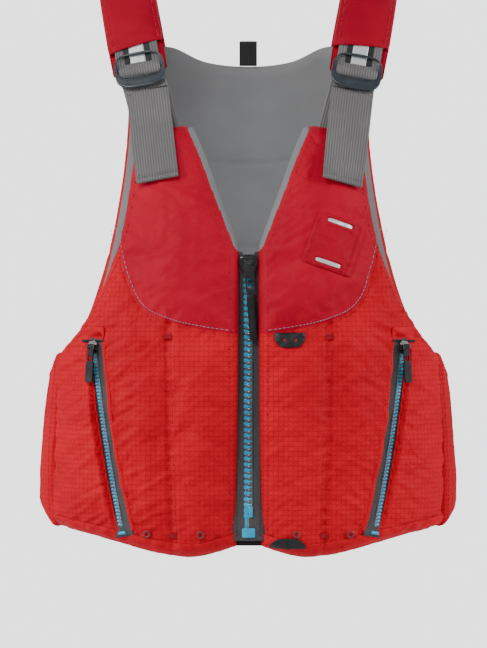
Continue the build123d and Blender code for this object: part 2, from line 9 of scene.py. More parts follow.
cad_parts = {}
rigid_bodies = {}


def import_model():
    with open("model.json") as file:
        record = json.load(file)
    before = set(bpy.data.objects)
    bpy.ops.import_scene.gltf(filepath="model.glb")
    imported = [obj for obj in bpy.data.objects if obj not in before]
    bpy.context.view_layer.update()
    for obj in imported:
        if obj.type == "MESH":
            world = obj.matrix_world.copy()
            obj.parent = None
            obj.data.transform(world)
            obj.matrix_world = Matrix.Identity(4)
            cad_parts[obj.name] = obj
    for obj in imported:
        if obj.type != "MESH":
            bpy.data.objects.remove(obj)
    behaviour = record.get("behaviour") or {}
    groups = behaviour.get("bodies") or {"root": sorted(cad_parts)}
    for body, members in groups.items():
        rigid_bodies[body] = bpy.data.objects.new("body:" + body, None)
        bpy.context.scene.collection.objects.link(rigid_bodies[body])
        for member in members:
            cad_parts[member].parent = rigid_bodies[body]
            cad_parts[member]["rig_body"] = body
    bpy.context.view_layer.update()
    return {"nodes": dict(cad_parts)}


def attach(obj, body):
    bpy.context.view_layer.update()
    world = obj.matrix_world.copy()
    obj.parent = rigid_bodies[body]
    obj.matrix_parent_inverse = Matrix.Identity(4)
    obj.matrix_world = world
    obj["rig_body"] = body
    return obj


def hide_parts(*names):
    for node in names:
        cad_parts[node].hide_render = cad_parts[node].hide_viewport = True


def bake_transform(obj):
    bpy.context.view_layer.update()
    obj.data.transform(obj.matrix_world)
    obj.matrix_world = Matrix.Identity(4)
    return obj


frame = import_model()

# A front-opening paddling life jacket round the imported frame. Bare lengths are millimetres, and MM turns them
# into metres. Front is -Y and the wearer's left is +X. A side is -1 for the wearer's right and 1 for the left.
MM = 0.001
SIDES = ((-1, "right"), (1, "left"))
LEFTWARD, FRONT = np.array((1.0, 0.0, 0.0)), np.array((0.0, -1.0, 0.0))

# ------------------------------------------------------------ body shape, the same sections as the CAD model
# Each section is its height, half width, front depth and back depth. A line is (distance from the middle,
# height).
SECTIONS = np.array((
    (-20, 227, 146, 122), (60, 229, 157, 130), (150, 223, 166, 137), (240, 215, 168, 140),
    (320, 207, 161, 140), (400, 200, 142, 136), (470, 192, 112, 126), (540, 182, 72, 108),
    (600, 170, 40, 88)), float)
SIDE_LINE_Y = 15
ROUNDNESS = 2.4
SEAM_Y = -54
BACK_EDGE_Y = 55
BACK_SPLIT_Z = 240
FOAM_DEPTH = 38
BACK_DEPTH = 33
SIDE_DEPTH = 17
HEM = ((13, 14), (35, 7), (60, 2), (95, 6), (150, 19), (210, 31))
NECKLINE = ((10, 328), (23, 362), (34, 390), (47, 425), (61, 457))
ARMHOLE = ((213, 213), (186, 243), (163, 284), (147, 322), (137, 357), (129, 410), (124, 442))
SHOULDER_TOP = ((61, 457), (80, 459), (108, 455), (124, 442))
YOKE_SEAM = ((0, 236), (35, 239), (85, 250), (119, 272), (140, 335), (146, 355))
PRINCESS = ((85, 247), (83, 120), (79, 0))
POCKET_TOP, POCKET_BOTTOM = (164, 229), (133, 27)

# ---------------------------------------------------------------- zips and straps
# A strap's path is (along the strap, outward) from its ladder lock.
ZIP_Y = -132
ZIP_BOTTOM, ZIP_TOP = 44, 318
TOOTH_PITCH, POCKET_TOOTH_PITCH = 6.0, 3.7
STRAP_X, STRAP_Y, STRAP_Z = 116.8, -69, 520
STRAP_LEAN, STRAP_SLOPE = 10.5, 27
WEBBING, WEBBING_THICKNESS = 48, 1.5
SLEEVE_PATH = ((-54.2, 545), (-46, 559.5), (-35, 577), (-10, 606), (27, 629), (62, 618), (82, 594), (87, 566),
               (86, 540))
TAIL_PATH = ((-24.6, -1.0), (-34, -2.2), (-52, -0.9), (-82, -1.2), (-108, -3.4), (-133, -6.4))
UPPER_PATH = ((62, -0.8), (44, 0.9), (30, 0.5), (18, 0.1), (9, 0.2), (4, 1.4), (1.5, 2.6))
ROLL_PATH = ((9, -2.2), (6.6, 1.2), (3.2, 4.0), (-1.2, 4.6), (-4.8, 3.0), (-6.8, 0.5),
             (-10, -0.7), (-17, -1.0), (-24.2, -1.0))
CHEST_PATH = ((-6, -4.6), (-26, -4.9), (-48, -7.0), (-66, -13.0), (-80, -21.0))
LOCK_HALF, LOCK_OPENING = (27.2, 22.0), (-7.0, 19.4)
LOCK_LIFT, LOCK_BOW = 3.8, -0.6
MOUTH_SLANT = 4.0
LOCK_DROP = {-1: 2.0, 1: 5.0}
TAIL_SHIFT, TAIL_TURN = {-1: (4.5, -1.5), 1: (-1.0, 5.0)}, {-1: 8, 1: -20}


# ================================================================ curves and surfaces
def unit(vectors):
    """Vectors brought to length one."""
    return vectors / np.linalg.norm(vectors, axis=-1, keepdims=True)


def tangents_of(points):
    """Unit tangents along a line of points."""
    return unit(np.gradient(points, axis=0))


def signed_power(value, power):
    """A power that keeps the sign of what it is taken of."""
    return np.sign(value) * np.abs(value) ** power


def bell(distance, width):
    """1 at no distance, falling smoothly to nothing beyond the width."""
    return np.exp(-(distance / width) ** 2)


def dome(distance, power):
    """1 in the middle and 0 at a distance of 1. A higher power gives squarer shoulders."""
    return np.sqrt(np.clip(1 - np.abs(distance) ** power, 0, 1))


def round_angles(count):
    """Even steps once round a circle."""
    return np.linspace(0, 2 * math.pi, count, endpoint=False)


def pairs(first, second):
    """Two fields side by side, as one field of pairs."""
    return np.stack(np.broadcast_arrays(first, second), axis=-1)


def square_grid(nu, nv, low=0):
    """Two fields over a grid: the first from -1 to 1, the second from low to 1."""
    return np.meshgrid(np.linspace(-1, 1, nu), np.linspace(low, 1, nv), indexing="ij")


def smooth_curve(points, count):
    """Points at even steps along a Catmull-Rom curve through the given ones."""
    p = np.array(points, float)
    p = np.vstack((2 * p[0] - p[1], p, 2 * p[-1] - p[-2]))
    t = np.linspace(0, 1, 24, endpoint=False)[:, None]
    spans = [0.5 * (2 * b + (c - a) * t + (2 * a - 5 * b + 4 * c - d) * t ** 2
                    + (3 * b - a - 3 * c + d) * t ** 3)
             for a, b, c, d in zip(p[:-3], p[1:-2], p[2:-1], p[3:])]
    return resample(np.vstack(spans + [p[-2:-1]]), count)


def distances_along(points):
    """How far along a line each of its points lies."""
    return np.concatenate(([0], np.cumsum(np.linalg.norm(np.diff(points, axis=0), axis=1))))


def resample(points, count):
    """The same line with its points at even steps."""
    along = distances_along(points)
    at = np.linspace(0, along[-1], count)
    return np.stack([np.interp(at, along, points[:, k]) for k in range(points.shape[1])], axis=1)


def curve_length(points):
    """The length of a line of points."""
    return float(np.linalg.norm(np.diff(points, axis=0), axis=1).sum())


SECTION_CURVE = smooth_curve(SECTIONS, 400)


def section(z):
    """Half width, front depth and back depth of the body at each height."""
    return tuple(np.interp(z, SECTION_CURVE[:, 0], SECTION_CURVE[:, k]) for k in (1, 2, 3))


def angle_at(x, z, back=False):
    """The section angle of a point seen at x: 0 is the wearer's left side, 90 degrees the back."""
    half_width = section(z)[0]
    ratio = np.clip(np.abs(x) / half_width, 0, 1) ** (ROUNDNESS / 2)
    angle = np.arccos(np.clip(np.sign(x) * ratio, -1, 1))
    return angle if back else -angle


def body_point(angle, z, inset=0.0):
    """Points of the body surface in metres, at a depth below it."""
    half_width, front, back = section(z)
    across, along = np.cos(angle), np.sin(angle)
    depth = np.where(along > 0, back, front) - inset
    x = (half_width - inset) * signed_power(across, 2 / ROUNDNESS)
    y = SIDE_LINE_Y + depth * signed_power(along, 2 / ROUNDNESS)
    return np.stack((x, y, np.broadcast_to(z, x.shape)), axis=-1) * MM


def body_normal(angle, z):
    """Outward normals of the body surface."""
    half_width, front, back = section(z)
    across, along = np.cos(angle), np.sin(angle)
    depth = np.where(along > 0, back, front)
    power = 2 - 2 / ROUNDNESS
    nx, ny = signed_power(across, power) / half_width, signed_power(along, power) / depth
    return unit(np.stack((nx, ny, np.zeros_like(nx)), axis=-1))


def coons(bottom, top, left, right):
    """A grid of points filled in from its four edges."""
    nu, nv = len(bottom), len(left)
    u, v = np.linspace(0, 1, nu)[:, None, None], np.linspace(0, 1, nv)[None, :, None]
    ruled = (1 - v) * bottom[:, None] + v * top[:, None] + (1 - u) * left[None] + u * right[None]
    corners = ((1 - u) * (1 - v) * bottom[0] + u * (1 - v) * bottom[-1]
               + (1 - u) * v * top[0] + u * v * top[-1])
    return ruled - corners


def eased(count, ease=0.45):
    """Steps from 0 to 1 that crowd towards both ends."""
    t = np.linspace(0, 1, count)
    return (1 - ease) * t + ease * (0.5 - 0.5 * np.cos(math.pi * t))


def at_heights(points, heights):
    """Points of a rising curve at given heights."""
    return np.stack((np.interp(heights, points[:, 1], points[:, 0]), heights), axis=1)


def at_shares(line, share):
    """Points at shares of the way through a line's points."""
    return np.stack([np.interp(share, np.linspace(0, 1, len(line)), line[:, k]) for k in (0, 1)], axis=1)


def smoothstep(value, low, high):
    """A smooth rise from 0 at low to 1 at high."""
    t = np.clip((value - low) / (high - low), 0, 1)
    return t * t * (3 - 2 * t)


def distance_field(points, line):
    """Distance in millimetres from each (x, z) point to a dense line, and the sign of the side it is on."""
    tree = kdtree.KDTree(len(line))
    for index, (x, z) in enumerate(line):
        tree.insert((x, z, 0), index)
    tree.balance()
    flat = points.reshape(-1, 2)
    distance, side = np.empty(len(flat)), np.empty(len(flat))
    for k, (x, z) in enumerate(flat):
        _, i, distance[k] = tree.find((x, z, 0))
        i = min(i, len(line) - 2)
        (ax, az), (bx, bz) = line[i], line[i + 1]
        side[k] = math.copysign(1, (bx - ax) * (z - az) - (bz - az) * (x - ax))
    return distance.reshape(points.shape[:-1]), side.reshape(points.shape[:-1])


def noise_field(points, scale, seed, octaves=2):
    """Perlin noise over (x, z) points, stretched by a pair of scales in millimetres."""
    flat = points.reshape(-1, 2)
    values = [noise.fractal(Vector((x / scale[0], z / scale[1], seed)), 1.0, 2.0, octaves) for x, z in flat]
    return np.array(values).reshape(points.shape[:-1])


# ================================================================ meshes
def new_object(name, vertices, faces, materials, smooth=True, face_materials=None):
    """A mesh object with materials named as in MAT."""
    mesh = bpy.data.meshes.new(name)
    mesh.from_pydata([tuple(v) for v in vertices], [], [tuple(f) for f in faces])
    mesh.validate()
    for material in materials:
        mesh.materials.append(MAT[material])
    if face_materials is not None:
        mesh.polygons.foreach_set("material_index", np.array(face_materials, np.int32))
    mesh.polygons.foreach_set("use_smooth", np.full(len(mesh.polygons), smooth))
    obj = bpy.data.objects.new(name, mesh)
    bpy.context.scene.collection.objects.link(obj)
    return obj


def set_attribute(obj, name, values):
    """A number or a vector stored on each vertex, for the materials to read."""
    kind = "FLOAT" if values.ndim == 1 else "FLOAT_VECTOR"
    attribute = obj.data.attributes.new(name, kind, "POINT")
    attribute.data.foreach_set("value" if kind == "FLOAT" else "vector", values.astype(np.float32).ravel())


def grid_faces(nu, nv, offset=0, flip=False):
    """Quads over a grid of points, counted from an offset."""
    i, j = np.meshgrid(np.arange(nu - 1), np.arange(nv - 1), indexing="ij")
    a = (i * nv + j + offset).ravel()
    quads = np.stack((a, a + nv, a + nv + 1, a + 1), axis=1)
    return quads[:, ::-1] if flip else quads


def tube_faces(rings, around, ring_shaped=False):
    """Faces round a tube of rings of points. A tube that isn't itself bent into a ring is capped."""
    faces = [(i * around + j, i * around + (j + 1) % around, (i + 1) % rings * around + (j + 1) % around,
              (i + 1) % rings * around + j)
             for i in range(rings if ring_shaped else rings - 1) for j in range(around)]
    if ring_shaped:
        return faces
    return faces + [tuple(range(around))[::-1], tuple(range((rings - 1) * around, rings * around))]


def rim(nu, nv):
    """Indices round the edge of a grid, in order."""
    index = np.arange(nu * nv).reshape(nu, nv)
    return np.concatenate((index[:-1, 0], index[-1, :-1], index[:0:-1, -1], index[0, :0:-1]))


def closed_pad(name, outer, inner, materials, flip, cloth, body, slot, nodes=(), extra=(), outer_kinds=0):
    """A closed piece of an outer and an inner grid joined round their edges. The inner one has the last
    material."""
    nu, nv = outer.shape[:2]
    count = nu * nv
    edge = rim(nu, nv)
    following = np.roll(edge, -1)
    skirt = np.stack((edge, edge + count, following + count, following), axis=1)
    outer_faces, inner_faces = grid_faces(nu, nv, 0, flip), grid_faces(nu, nv, count, not flip)
    if flip:
        skirt = skirt[:, ::-1]
    faces = np.vstack((outer_faces, inner_faces, skirt))
    last = len(materials) - 1
    kinds = np.concatenate((np.broadcast_to(outer_kinds, len(outer_faces)), np.full(len(inner_faces), last),
                            np.full(len(skirt), last)))
    obj = new_object(name, np.vstack((outer.reshape(-1, 3), inner.reshape(-1, 3))), faces, materials,
                     face_materials=kinds)
    doubled = np.vstack((cloth.reshape(-1, 2), cloth.reshape(-1, 2))) * MM
    set_attribute(obj, "cloth", np.column_stack((doubled, np.zeros(len(doubled)))))
    for key, values in extra:
        set_attribute(obj, key, np.concatenate((values.ravel(), values.ravel())))
    return place(obj, body, slot, *nodes)


def grid_normals(points):
    """Unit normals of a grid of points."""
    du, dv = np.gradient(points, axis=0), np.gradient(points, axis=1)
    normal = np.cross(du, dv)
    return normal / np.maximum(np.linalg.norm(normal, axis=-1, keepdims=True), 1e-12)


def sweep(name, path, normals, outline, material, body, slot, *nodes):
    """A piece with a section of (across, outward) points in millimetres, carried along a path in metres. One
    normal can serve the whole path."""
    path, outline = np.array(path, float), np.array(outline, float) * MM
    tangent = tangents_of(path)
    across = unit(np.cross(tangent, np.broadcast_to(normals, path.shape)))
    outward = np.cross(across, tangent)
    rings = path[:, None] + across[:, None] * outline[None, :, :1] + outward[:, None] * outline[None, :, 1:]
    n, m = len(path), len(outline)
    obj = new_object(name, rings.reshape(-1, 3), tube_faces(n, m), [material])
    cloth = np.stack((np.broadcast_to(outline[:, 0], (n, m)),
                      np.broadcast_to(distances_along(path)[:, None], (n, m)),
                      np.zeros((n, m))), axis=-1)
    set_attribute(obj, "cloth", cloth.reshape(-1, 3))
    return place(obj, body, slot, *nodes)


STRAP_CORNER = 0.3


def flat_section(width, thickness, steps):
    """A strap's section: flat, with rounded edges."""
    half = width / 2
    x = np.linspace(-half, half, steps)
    rise = thickness / 2 * (dome(x / half, 2 / STRAP_CORNER) * 0.55 + 0.45)
    return np.vstack((np.column_stack((x, -rise)), np.column_stack((x[::-1], rise[::-1]))))


def rounded_section(width, thickness, power=3.0, steps=28):
    """A section between an ellipse and a rectangle."""
    angle = round_angles(steps)
    return np.column_stack((signed_power(np.cos(angle), 2 / power) * width / 2,
                            signed_power(np.sin(angle), 2 / power) * thickness / 2))


def joined(name, items, material, body, slot, *nodes):
    """One piece of many small meshes, given as (vertices, faces)."""
    vertices, faces, offset = [], [], 0
    for points, polygons in items:
        vertices.append(points)
        faces += [tuple(i + offset for i in f) for f in polygons]
        offset += len(points)
    return place(new_object(name, np.vstack(vertices), faces, [material]), body, slot, *nodes)


STITCH_SIDES = 6
STITCH_BOW = 0.35
STITCH_PROFILE = ((0, 0.45), (0.12, 0.9), (0.5, 1.0), (0.88, 0.9), (1, 0.45))


def thread(start, end, normal, radius):
    """One stitch: a short bowed capsule."""
    axis = end - start
    across = unit(np.cross(axis, normal))
    rings = []
    for t, size in STITCH_PROFILE:
        centre = start + axis * t + normal * radius * (4 * STITCH_BOW * t * (1 - t))
        for k in range(STITCH_SIDES):
            a = 2 * math.pi * k / STITCH_SIDES
            rings.append(centre + (across * math.cos(a) + normal * math.sin(a)) * radius * size)
    return np.array(rings), tube_faces(len(STITCH_PROFILE), STITCH_SIDES)


def stitch_line(points, normals, length=2.6, gap=1.3, radius=0.34):
    """Stitches along a path in metres. One normal can serve the whole path."""
    count = max(int(curve_length(points) / ((length + gap) * MM)), 1)
    fine = resample(np.hstack((points, np.broadcast_to(normals, points.shape))), count * 4 + 1)
    reach = length / (length + gap)
    return [thread(a[:3], a[:3] + (b[:3] - a[:3]) * reach, unit(a[3:]), radius * MM)
            for a, b in zip(fine[:-1:4], fine[4::4])]


# ================================================================ materials
class Shader:
    """A small helper for building one node material."""

    def __init__(self, name, roughness, specular, **constants):
        self.material = bpy.data.materials.new(name)
        self.material.use_nodes = True
        self.tree = self.material.node_tree
        self.surface = self.tree.nodes["Principled BSDF"]
        self.put(self.surface, "Roughness", roughness)
        self.put(self.surface, "Specular IOR Level", specular)
        for key, value in constants.items():
            self.put(self.surface, key.replace("_", " "), value)

    def put(self, node, socket, value):
        """Links a socket to an input, or sets the input's own value."""
        if isinstance(value, bpy.types.NodeSocket):
            self.tree.links.new(value, node.inputs[socket])
        else:
            node.inputs[socket].default_value = value

    def node(self, kind, inputs=None, **settings):
        """A new node with its settings and inputs."""
        node = self.tree.nodes.new(kind)
        for key, value in settings.items():
            setattr(node, key, value)
        for socket, value in (inputs or {}).items():
            self.put(node, socket, value)
        return node

    def math(self, operation, a, b=0.0):
        """A sum on two values or sockets."""
        return self.node("ShaderNodeMath", {0: a, 1: b}, operation=operation).outputs[0]

    def ramp(self, value, low, high, out_low=0.0, out_high=1.0):
        """A smooth step from one value to another."""
        node = self.node("ShaderNodeMapRange", {"Value": value, "From Min": low, "From Max": high,
                                                "To Min": out_low, "To Max": out_high},
                         interpolation_type="SMOOTHSTEP")
        return node.outputs["Result"]

    def mix(self, factor, a, b):
        """Two colours mixed by a factor."""
        return self.node("ShaderNodeMix", {0: factor, 6: a, 7: b}, data_type="RGBA").outputs[2]

    def cloth(self):
        """Distances across and along the cloth, in millimetres."""
        attribute = self.node("ShaderNodeAttribute", attribute_name="cloth")
        split = self.node("ShaderNodeSeparateXYZ", {0: attribute.outputs["Vector"]})
        return self.math("MULTIPLY", split.outputs[0], 1000), self.math("MULTIPLY", split.outputs[1], 1000)

    def attribute(self, name):
        """A number stored on the mesh."""
        return self.node("ShaderNodeAttribute", attribute_name=name).outputs["Fac"]

    def noise(self, scale, detail=3.0):
        """Noise over the object's own space."""
        position = self.node("ShaderNodeTexCoord").outputs["Object"]
        return self.node("ShaderNodeTexNoise", {"Vector": position, "Scale": scale, "Detail": detail,
                                                "Roughness": 0.55}).outputs["Fac"]

    def waves(self, distance, pitch):
        """A smooth rise and fall over each pitch, from 0 to 1."""
        turn = self.math("SINE", self.math("MULTIPLY", distance, 2 * math.pi / pitch))
        return self.math("ADD", self.math("MULTIPLY", turn, 0.5), 0.5)

    def lines(self, distance, pitch, width):
        """Thin lines, one every pitch."""
        fold = self.math("PINGPONG", distance, pitch / 2)
        return self.ramp(fold, width * 0.5, width, 1.0, 0.0)

    def bump(self, height, distance, strength=1.0):
        """Adds a bump on top of the ones before it. The distance is in millimetres."""
        node = self.node("ShaderNodeBump", {"Height": height, "Distance": distance * MM,
                                            "Strength": strength})
        normal = self.surface.inputs["Normal"]
        if normal.is_linked:
            self.tree.links.new(normal.links[0].from_socket, node.inputs["Normal"])
        self.tree.links.new(node.outputs[0], normal)

    def colour(self, value):
        """Sets the surface's colour."""
        self.put(self.surface, "Base Color", value)


def rgb(r, g, b):
    """An opaque colour."""
    return (r, g, b, 1.0)


def scaled(base, factor, added=0.0):
    """A lighter or darker version of a colour."""
    return rgb(*(min(c * factor + added, 1) for c in base[:3]))


def plain_weave(shader, pitch, depth):
    """Raises a plain weave and gives the distances across and along it."""
    across, along = shader.cloth()
    weave = shader.math("MULTIPLY", shader.waves(across, pitch), shader.waves(along, pitch))
    shader.bump(weave, depth, 0.7)
    return across, along


def varied(shader, base, amount, scale=9.0):
    """The base colour, a little lighter and darker over broad patches."""
    shade = shader.ramp(shader.noise(scale), 0.35, 0.68)
    return shader.mix(shade, scaled(base, 1 - amount), scaled(base, 1 + amount))


def panel_fabric():
    """Ripstop below the yoke seam and closer plain cloth above it."""
    shader = Shader("panel_fabric", 0.60, 0.10, Sheen_Weight=0.02, Sheen_Roughness=0.4)
    across, along = plain_weave(shader, 0.9, 0.05)
    grid = shader.math("MAXIMUM", shader.lines(across, 5.2, 0.62), shader.lines(along, 5.2, 0.62))
    above = shader.ramp(shader.attribute("yoke"), -0.3, 0.5)
    ripstop = shader.math("MULTIPLY", grid, shader.math("SUBTRACT", 1.0, above))
    red = varied(shader, RED, 0.10)
    crimson = varied(shader, CRIMSON, 0.08, 14.0)
    lined = shader.mix(shader.math("MULTIPLY", ripstop, 0.42), red, RIPSTOP_LINE)
    shader.colour(shader.mix(above, lined, crimson))
    shader.bump(ripstop, 0.22, 0.8)
    shader.bump(shader.noise(160.0, 4.0), 0.35, 0.35)
    return shader.material


def red_cloth(name, base):
    """Plain nylon cloth."""
    shader = Shader(name, 0.60, 0.10, Sheen_Weight=0.02, Sheen_Roughness=0.4)
    plain_weave(shader, 0.9, 0.03)
    shader.colour(varied(shader, base, 0.09, 12.0))
    shader.bump(shader.noise(150.0, 4.0), 0.18, 0.4)
    return shader.material


def liner_cloth():
    """The soft cloth inside the panels."""
    shader = Shader("liner_cloth", 0.8, 0.15, Sheen_Weight=0.05)
    plain_weave(shader, 1.1, 0.08)
    shader.colour(varied(shader, GREY_LINER, 0.08))
    shader.bump(shader.noise(120.0, 4.0), 0.4, 0.4)
    return shader.material


def ribbed_webbing(name, base, rib=2.8):
    """Woven strap with raised ribs along it and a fine cross weave, and painted shade that darkens the grooves
    between the ribs.
    """
    shader = Shader(name, 0.72, 0.2, Sheen_Weight=0.08)
    across, along = shader.cloth()
    ribs = shader.waves(across, rib)
    shader.bump(ribs, 0.30, 0.9)
    shader.bump(shader.math("MULTIPLY", shader.waves(along, 1.25), shader.waves(across, rib / 2)), 0.16, 0.8)
    # Painted shade: the colour darkens from the rib tops down into the grooves between them.
    raised = shader.math("ADD", shader.math("MULTIPLY", ribs, 0.85), 0.12)
    shader.colour(shader.mix(raised, scaled(base, 0.55), varied(shader, base, 0.10, 30.0)))
    return shader.material


def zip_tape_cloth():
    """Twill tape, with painted shade that darkens the twill's grooves."""
    shader = Shader("zip_tape_cloth", 0.78, 0.15, Sheen_Weight=0.03)
    across, along = shader.cloth()
    slant = shader.math("ADD", along, shader.math("PINGPONG", across, 1.6))
    twill = shader.waves(slant, 1.5)
    shader.bump(twill, 0.22, 0.9)
    # Painted shade: the colour darkens in the twill's grooves.
    shader.colour(shader.mix(twill, scaled(TAPE_GREY, 0.5), TAPE_GREY))
    return shader.material


def mesh_cloth():
    """Open knitted mesh: rows of small holes in a black cloth, painted near-black as painted shade seen through
    them.
    """
    shader = Shader("mesh_cloth", 0.7, 0.25, Sheen_Weight=0.1)
    across, along = shader.cloth()
    row = shader.math("MULTIPLY", shader.waves(across, 4.2), shader.waves(along, 3.4))
    offset = shader.math("MULTIPLY", shader.waves(shader.math("ADD", across, 2.1), 4.2),
                         shader.waves(shader.math("ADD", along, 1.7), 3.4))
    holes = shader.ramp(shader.math("MAXIMUM", row, offset), 0.45, 0.75)
    # Painted shade: the holes are coloured near-black for the shade seen through them.
    shader.colour(shader.mix(holes, rgb(0.055, 0.055, 0.06), rgb(0.004, 0.004, 0.004)))
    shader.bump(shader.math("SUBTRACT", 1.0, holes), 0.7, 1.0)
    return shader.material


def moulded(name, base, roughness, specular=0.5, grain=0.12, coat=0.0):
    """Moulded plastic or rubber: a fine grain and worn, slightly shinier patches."""
    shader = Shader(name, roughness, specular, Coat_Weight=coat)
    worn = shader.ramp(shader.noise(55.0, 4.0), 0.45, 0.7)
    shader.colour(shader.mix(worn, base, scaled(base, 1.35, 0.004)))
    shader.put(shader.surface, "Roughness", shader.ramp(shader.noise(90.0, 3.0), 0.3, 0.7, roughness * 0.8,
                                                         min(roughness * 1.25, 1.0)))
    shader.bump(shader.noise(900.0, 2.0), grain, 0.5)
    return shader.material


def reflective_cloth():
    """Silver reflective tape with a fine cell pattern."""
    shader = Shader("reflective_cloth", 0.35, 0.6, Metallic=0.35)
    across, along = shader.cloth()
    cells = shader.math("MULTIPLY", shader.waves(across, 1.6), shader.waves(along, 1.6))
    shader.colour(shader.mix(cells, rgb(0.62, 0.64, 0.66), rgb(0.85, 0.86, 0.88)))
    shader.bump(cells, 0.06, 0.6)
    return shader.material


def thread_cloth(name, base):
    """Sewing thread."""
    shader = Shader(name, 0.55, 0.25, Sheen_Weight=0.05)
    shader.colour(varied(shader, base, 0.15, 200.0))
    shader.bump(shader.noise(1500.0, 2.0), 0.1, 0.6)
    return shader.material


def floor_paint():
    """The pale floor."""
    shader = Shader("pale_floor", 0.7, 0.3)
    shader.colour(shader.mix(shader.noise(0.8), rgb(0.72, 0.72, 0.72), rgb(0.76, 0.76, 0.76)))
    return shader.material


RED, CRIMSON = rgb(0.57, 0.0015, 0.014), rgb(0.43, 0.001, 0.020)
RIPSTOP_LINE = rgb(0.36, 0.001, 0.010)
GREY_LINER, TAPE_GREY = rgb(0.19, 0.195, 0.20), rgb(0.11, 0.104, 0.106)
WEBBING_GREY = rgb(0.175, 0.168, 0.170)
# The sleeve red is the red cloth painted darker: painted shade that offsets the extra light on the sleeves'
# upward faces.
SHADED_SLEEVE_RED = rgb(0.33, 0.001, 0.016)

MAT = {
    "panel": panel_fabric(),
    "red": red_cloth("red_cloth", RED),
    # The sleeves' red cloth with painted shade, darker than the red cloth to offset the light falling on them.
    "sleeve": red_cloth("sleeve_fabric_painted_shade", SHADED_SLEEVE_RED),
    "crimson": red_cloth("crimson_cloth", CRIMSON),
    "liner": liner_cloth(),
    "webbing": ribbed_webbing("grey_webbing", WEBBING_GREY),
    "black_webbing": ribbed_webbing("black_webbing", rgb(0.022, 0.022, 0.024), 2.2),
    "tape": zip_tape_cloth(),
    "mesh": mesh_cloth(),
    "teeth": moulded("turquoise_teeth", rgb(0.004, 0.34, 0.58), 0.3, 0.4, 0.05, 0.2),
    "dark_teeth": moulded("charcoal_zip_teeth", rgb(0.075, 0.088, 0.12), 0.28, 0.5, 0.05, 0.3),
    "zip_black": moulded("black_zip_paint", rgb(0.014, 0.014, 0.016), 0.24, 0.5, 0.04, 0.6),
    "zip_red": moulded("red_painted_metal", rgb(0.16, 0.012, 0.016), 0.4, 0.5, 0.04),
    "buckle": moulded("slate_plastic", rgb(0.026, 0.034, 0.042), 0.32, 0.4, 0.04, 0.2),
    "rubber": moulded("black_rubber", rgb(0.016, 0.016, 0.018), 0.5, 0.25, 0.12),
    "reflective": reflective_cloth(),
    "red_thread": thread_cloth("red_thread", rgb(0.36, 0.008, 0.016)),
    "blue_thread": thread_cloth("blue_thread", rgb(0.22, 0.27, 0.36)),
    "black_thread": thread_cloth("black_thread", rgb(0.02, 0.02, 0.022)),
    "floor": floor_paint(),
}


# ================================================================ placing pieces
def place(obj, body, slot, *nodes):
    """Puts a piece on its body and hides the CAD nodes that it stands for. The slot is not used. A piece given
    no body is not attached to one."""
    if body:
        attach(obj, body)
    if nodes:
        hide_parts(*nodes)
    return obj


def rounded_copy(node, name, material, voxel, smoothing, slot):
    """A moulded piece: the CAD node's shape with its edges rounded over."""
    source = frame["nodes"][node]
    obj = bpy.data.objects.new(name, source.data.copy())
    bpy.context.scene.collection.objects.link(obj)
    obj.data.materials.clear()
    obj.data.materials.append(MAT[material])
    remesh = obj.modifiers.new("remesh", "REMESH")
    remesh.mode, remesh.voxel_size, remesh.use_smooth_shade = "VOXEL", voxel * MM, True
    smooth = obj.modifiers.new("smooth", "SMOOTH")
    smooth.factor, smooth.iterations = 0.5, smoothing
    graph = bpy.context.evaluated_depsgraph_get()
    graph.update()
    mesh = bpy.data.meshes.new_from_object(obj.evaluated_get(graph))
    obj.modifiers.clear()
    obj.data = mesh
    return place(obj, source["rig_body"], slot, node)


# ================================================================ surfaces to lay things on
def nearest_mm(points, line):
    """Distance in millimetres from each point to a dense line, both in metres."""
    tree = kdtree.KDTree(len(line))
    for index, line_point in enumerate(line):
        tree.insert(line_point, index)
    tree.balance()
    return np.array([tree.find(v)[2] for v in points.reshape(-1, 3)]).reshape(points.shape[:-1]) / MM


def body_line(line, side=1):
    """A line drawn in (x, z) millimetres laid on the body's front, in metres."""
    line = np.array(line, float)
    return body_point(angle_at(side * line[:, 0], line[:, 1]), line[:, 1])


class Shell:
    """A finished padded piece that stitches, patches and bindings are laid on."""

    def __init__(self, obj):
        self.tree = BVHTree.FromPolygons([v.co[:] for v in obj.data.vertices],
                                         [p.vertices[:] for p in obj.data.polygons])

    def onto(self, points, normals, lift=0.12, start=0.02, reach=0.05):
        """Points dropped onto the piece along their normals. A point that misses it stays where it is."""
        normals = np.broadcast_to(normals, points.shape)
        dropped = points.reshape(-1, 3).copy()
        for k, n in enumerate(normals.reshape(-1, 3)):
            hit = self.tree.ray_cast(Vector(dropped[k] + n * start), Vector(-n), reach)[0]
            if hit is not None:
                dropped[k] = hit
        return dropped.reshape(points.shape) + normals * lift * MM, normals

    def drape(self, x, z, lift=0.0, back=False):
        """Points of the piece at each x and height, on its front or its back, with normals."""
        x, z = np.asarray(x, float), np.asarray(z, float)
        angle = angle_at(x, z, back)
        return self.onto(body_point(angle, z), body_normal(angle, z), lift, 0.03, 0.08)


def slab(name, shell, x, z, thickness, material, flip, lift, edge, body, slot, *nodes):
    """A flat piece with soft edges laid on a shell, over a grid of x and z."""
    u, v = square_grid(*x.shape, -1)
    rise = dome(np.maximum(np.abs(u), np.abs(v)), edge)
    points, normal = shell.drape(x, z, lift)
    top = points + normal * (thickness * (0.25 + 0.75 * rise) * MM)[..., None]
    return closed_pad(name, top, points - normal * 0.4 * MM, [material], flip, pairs(x, z), body, slot, nodes)


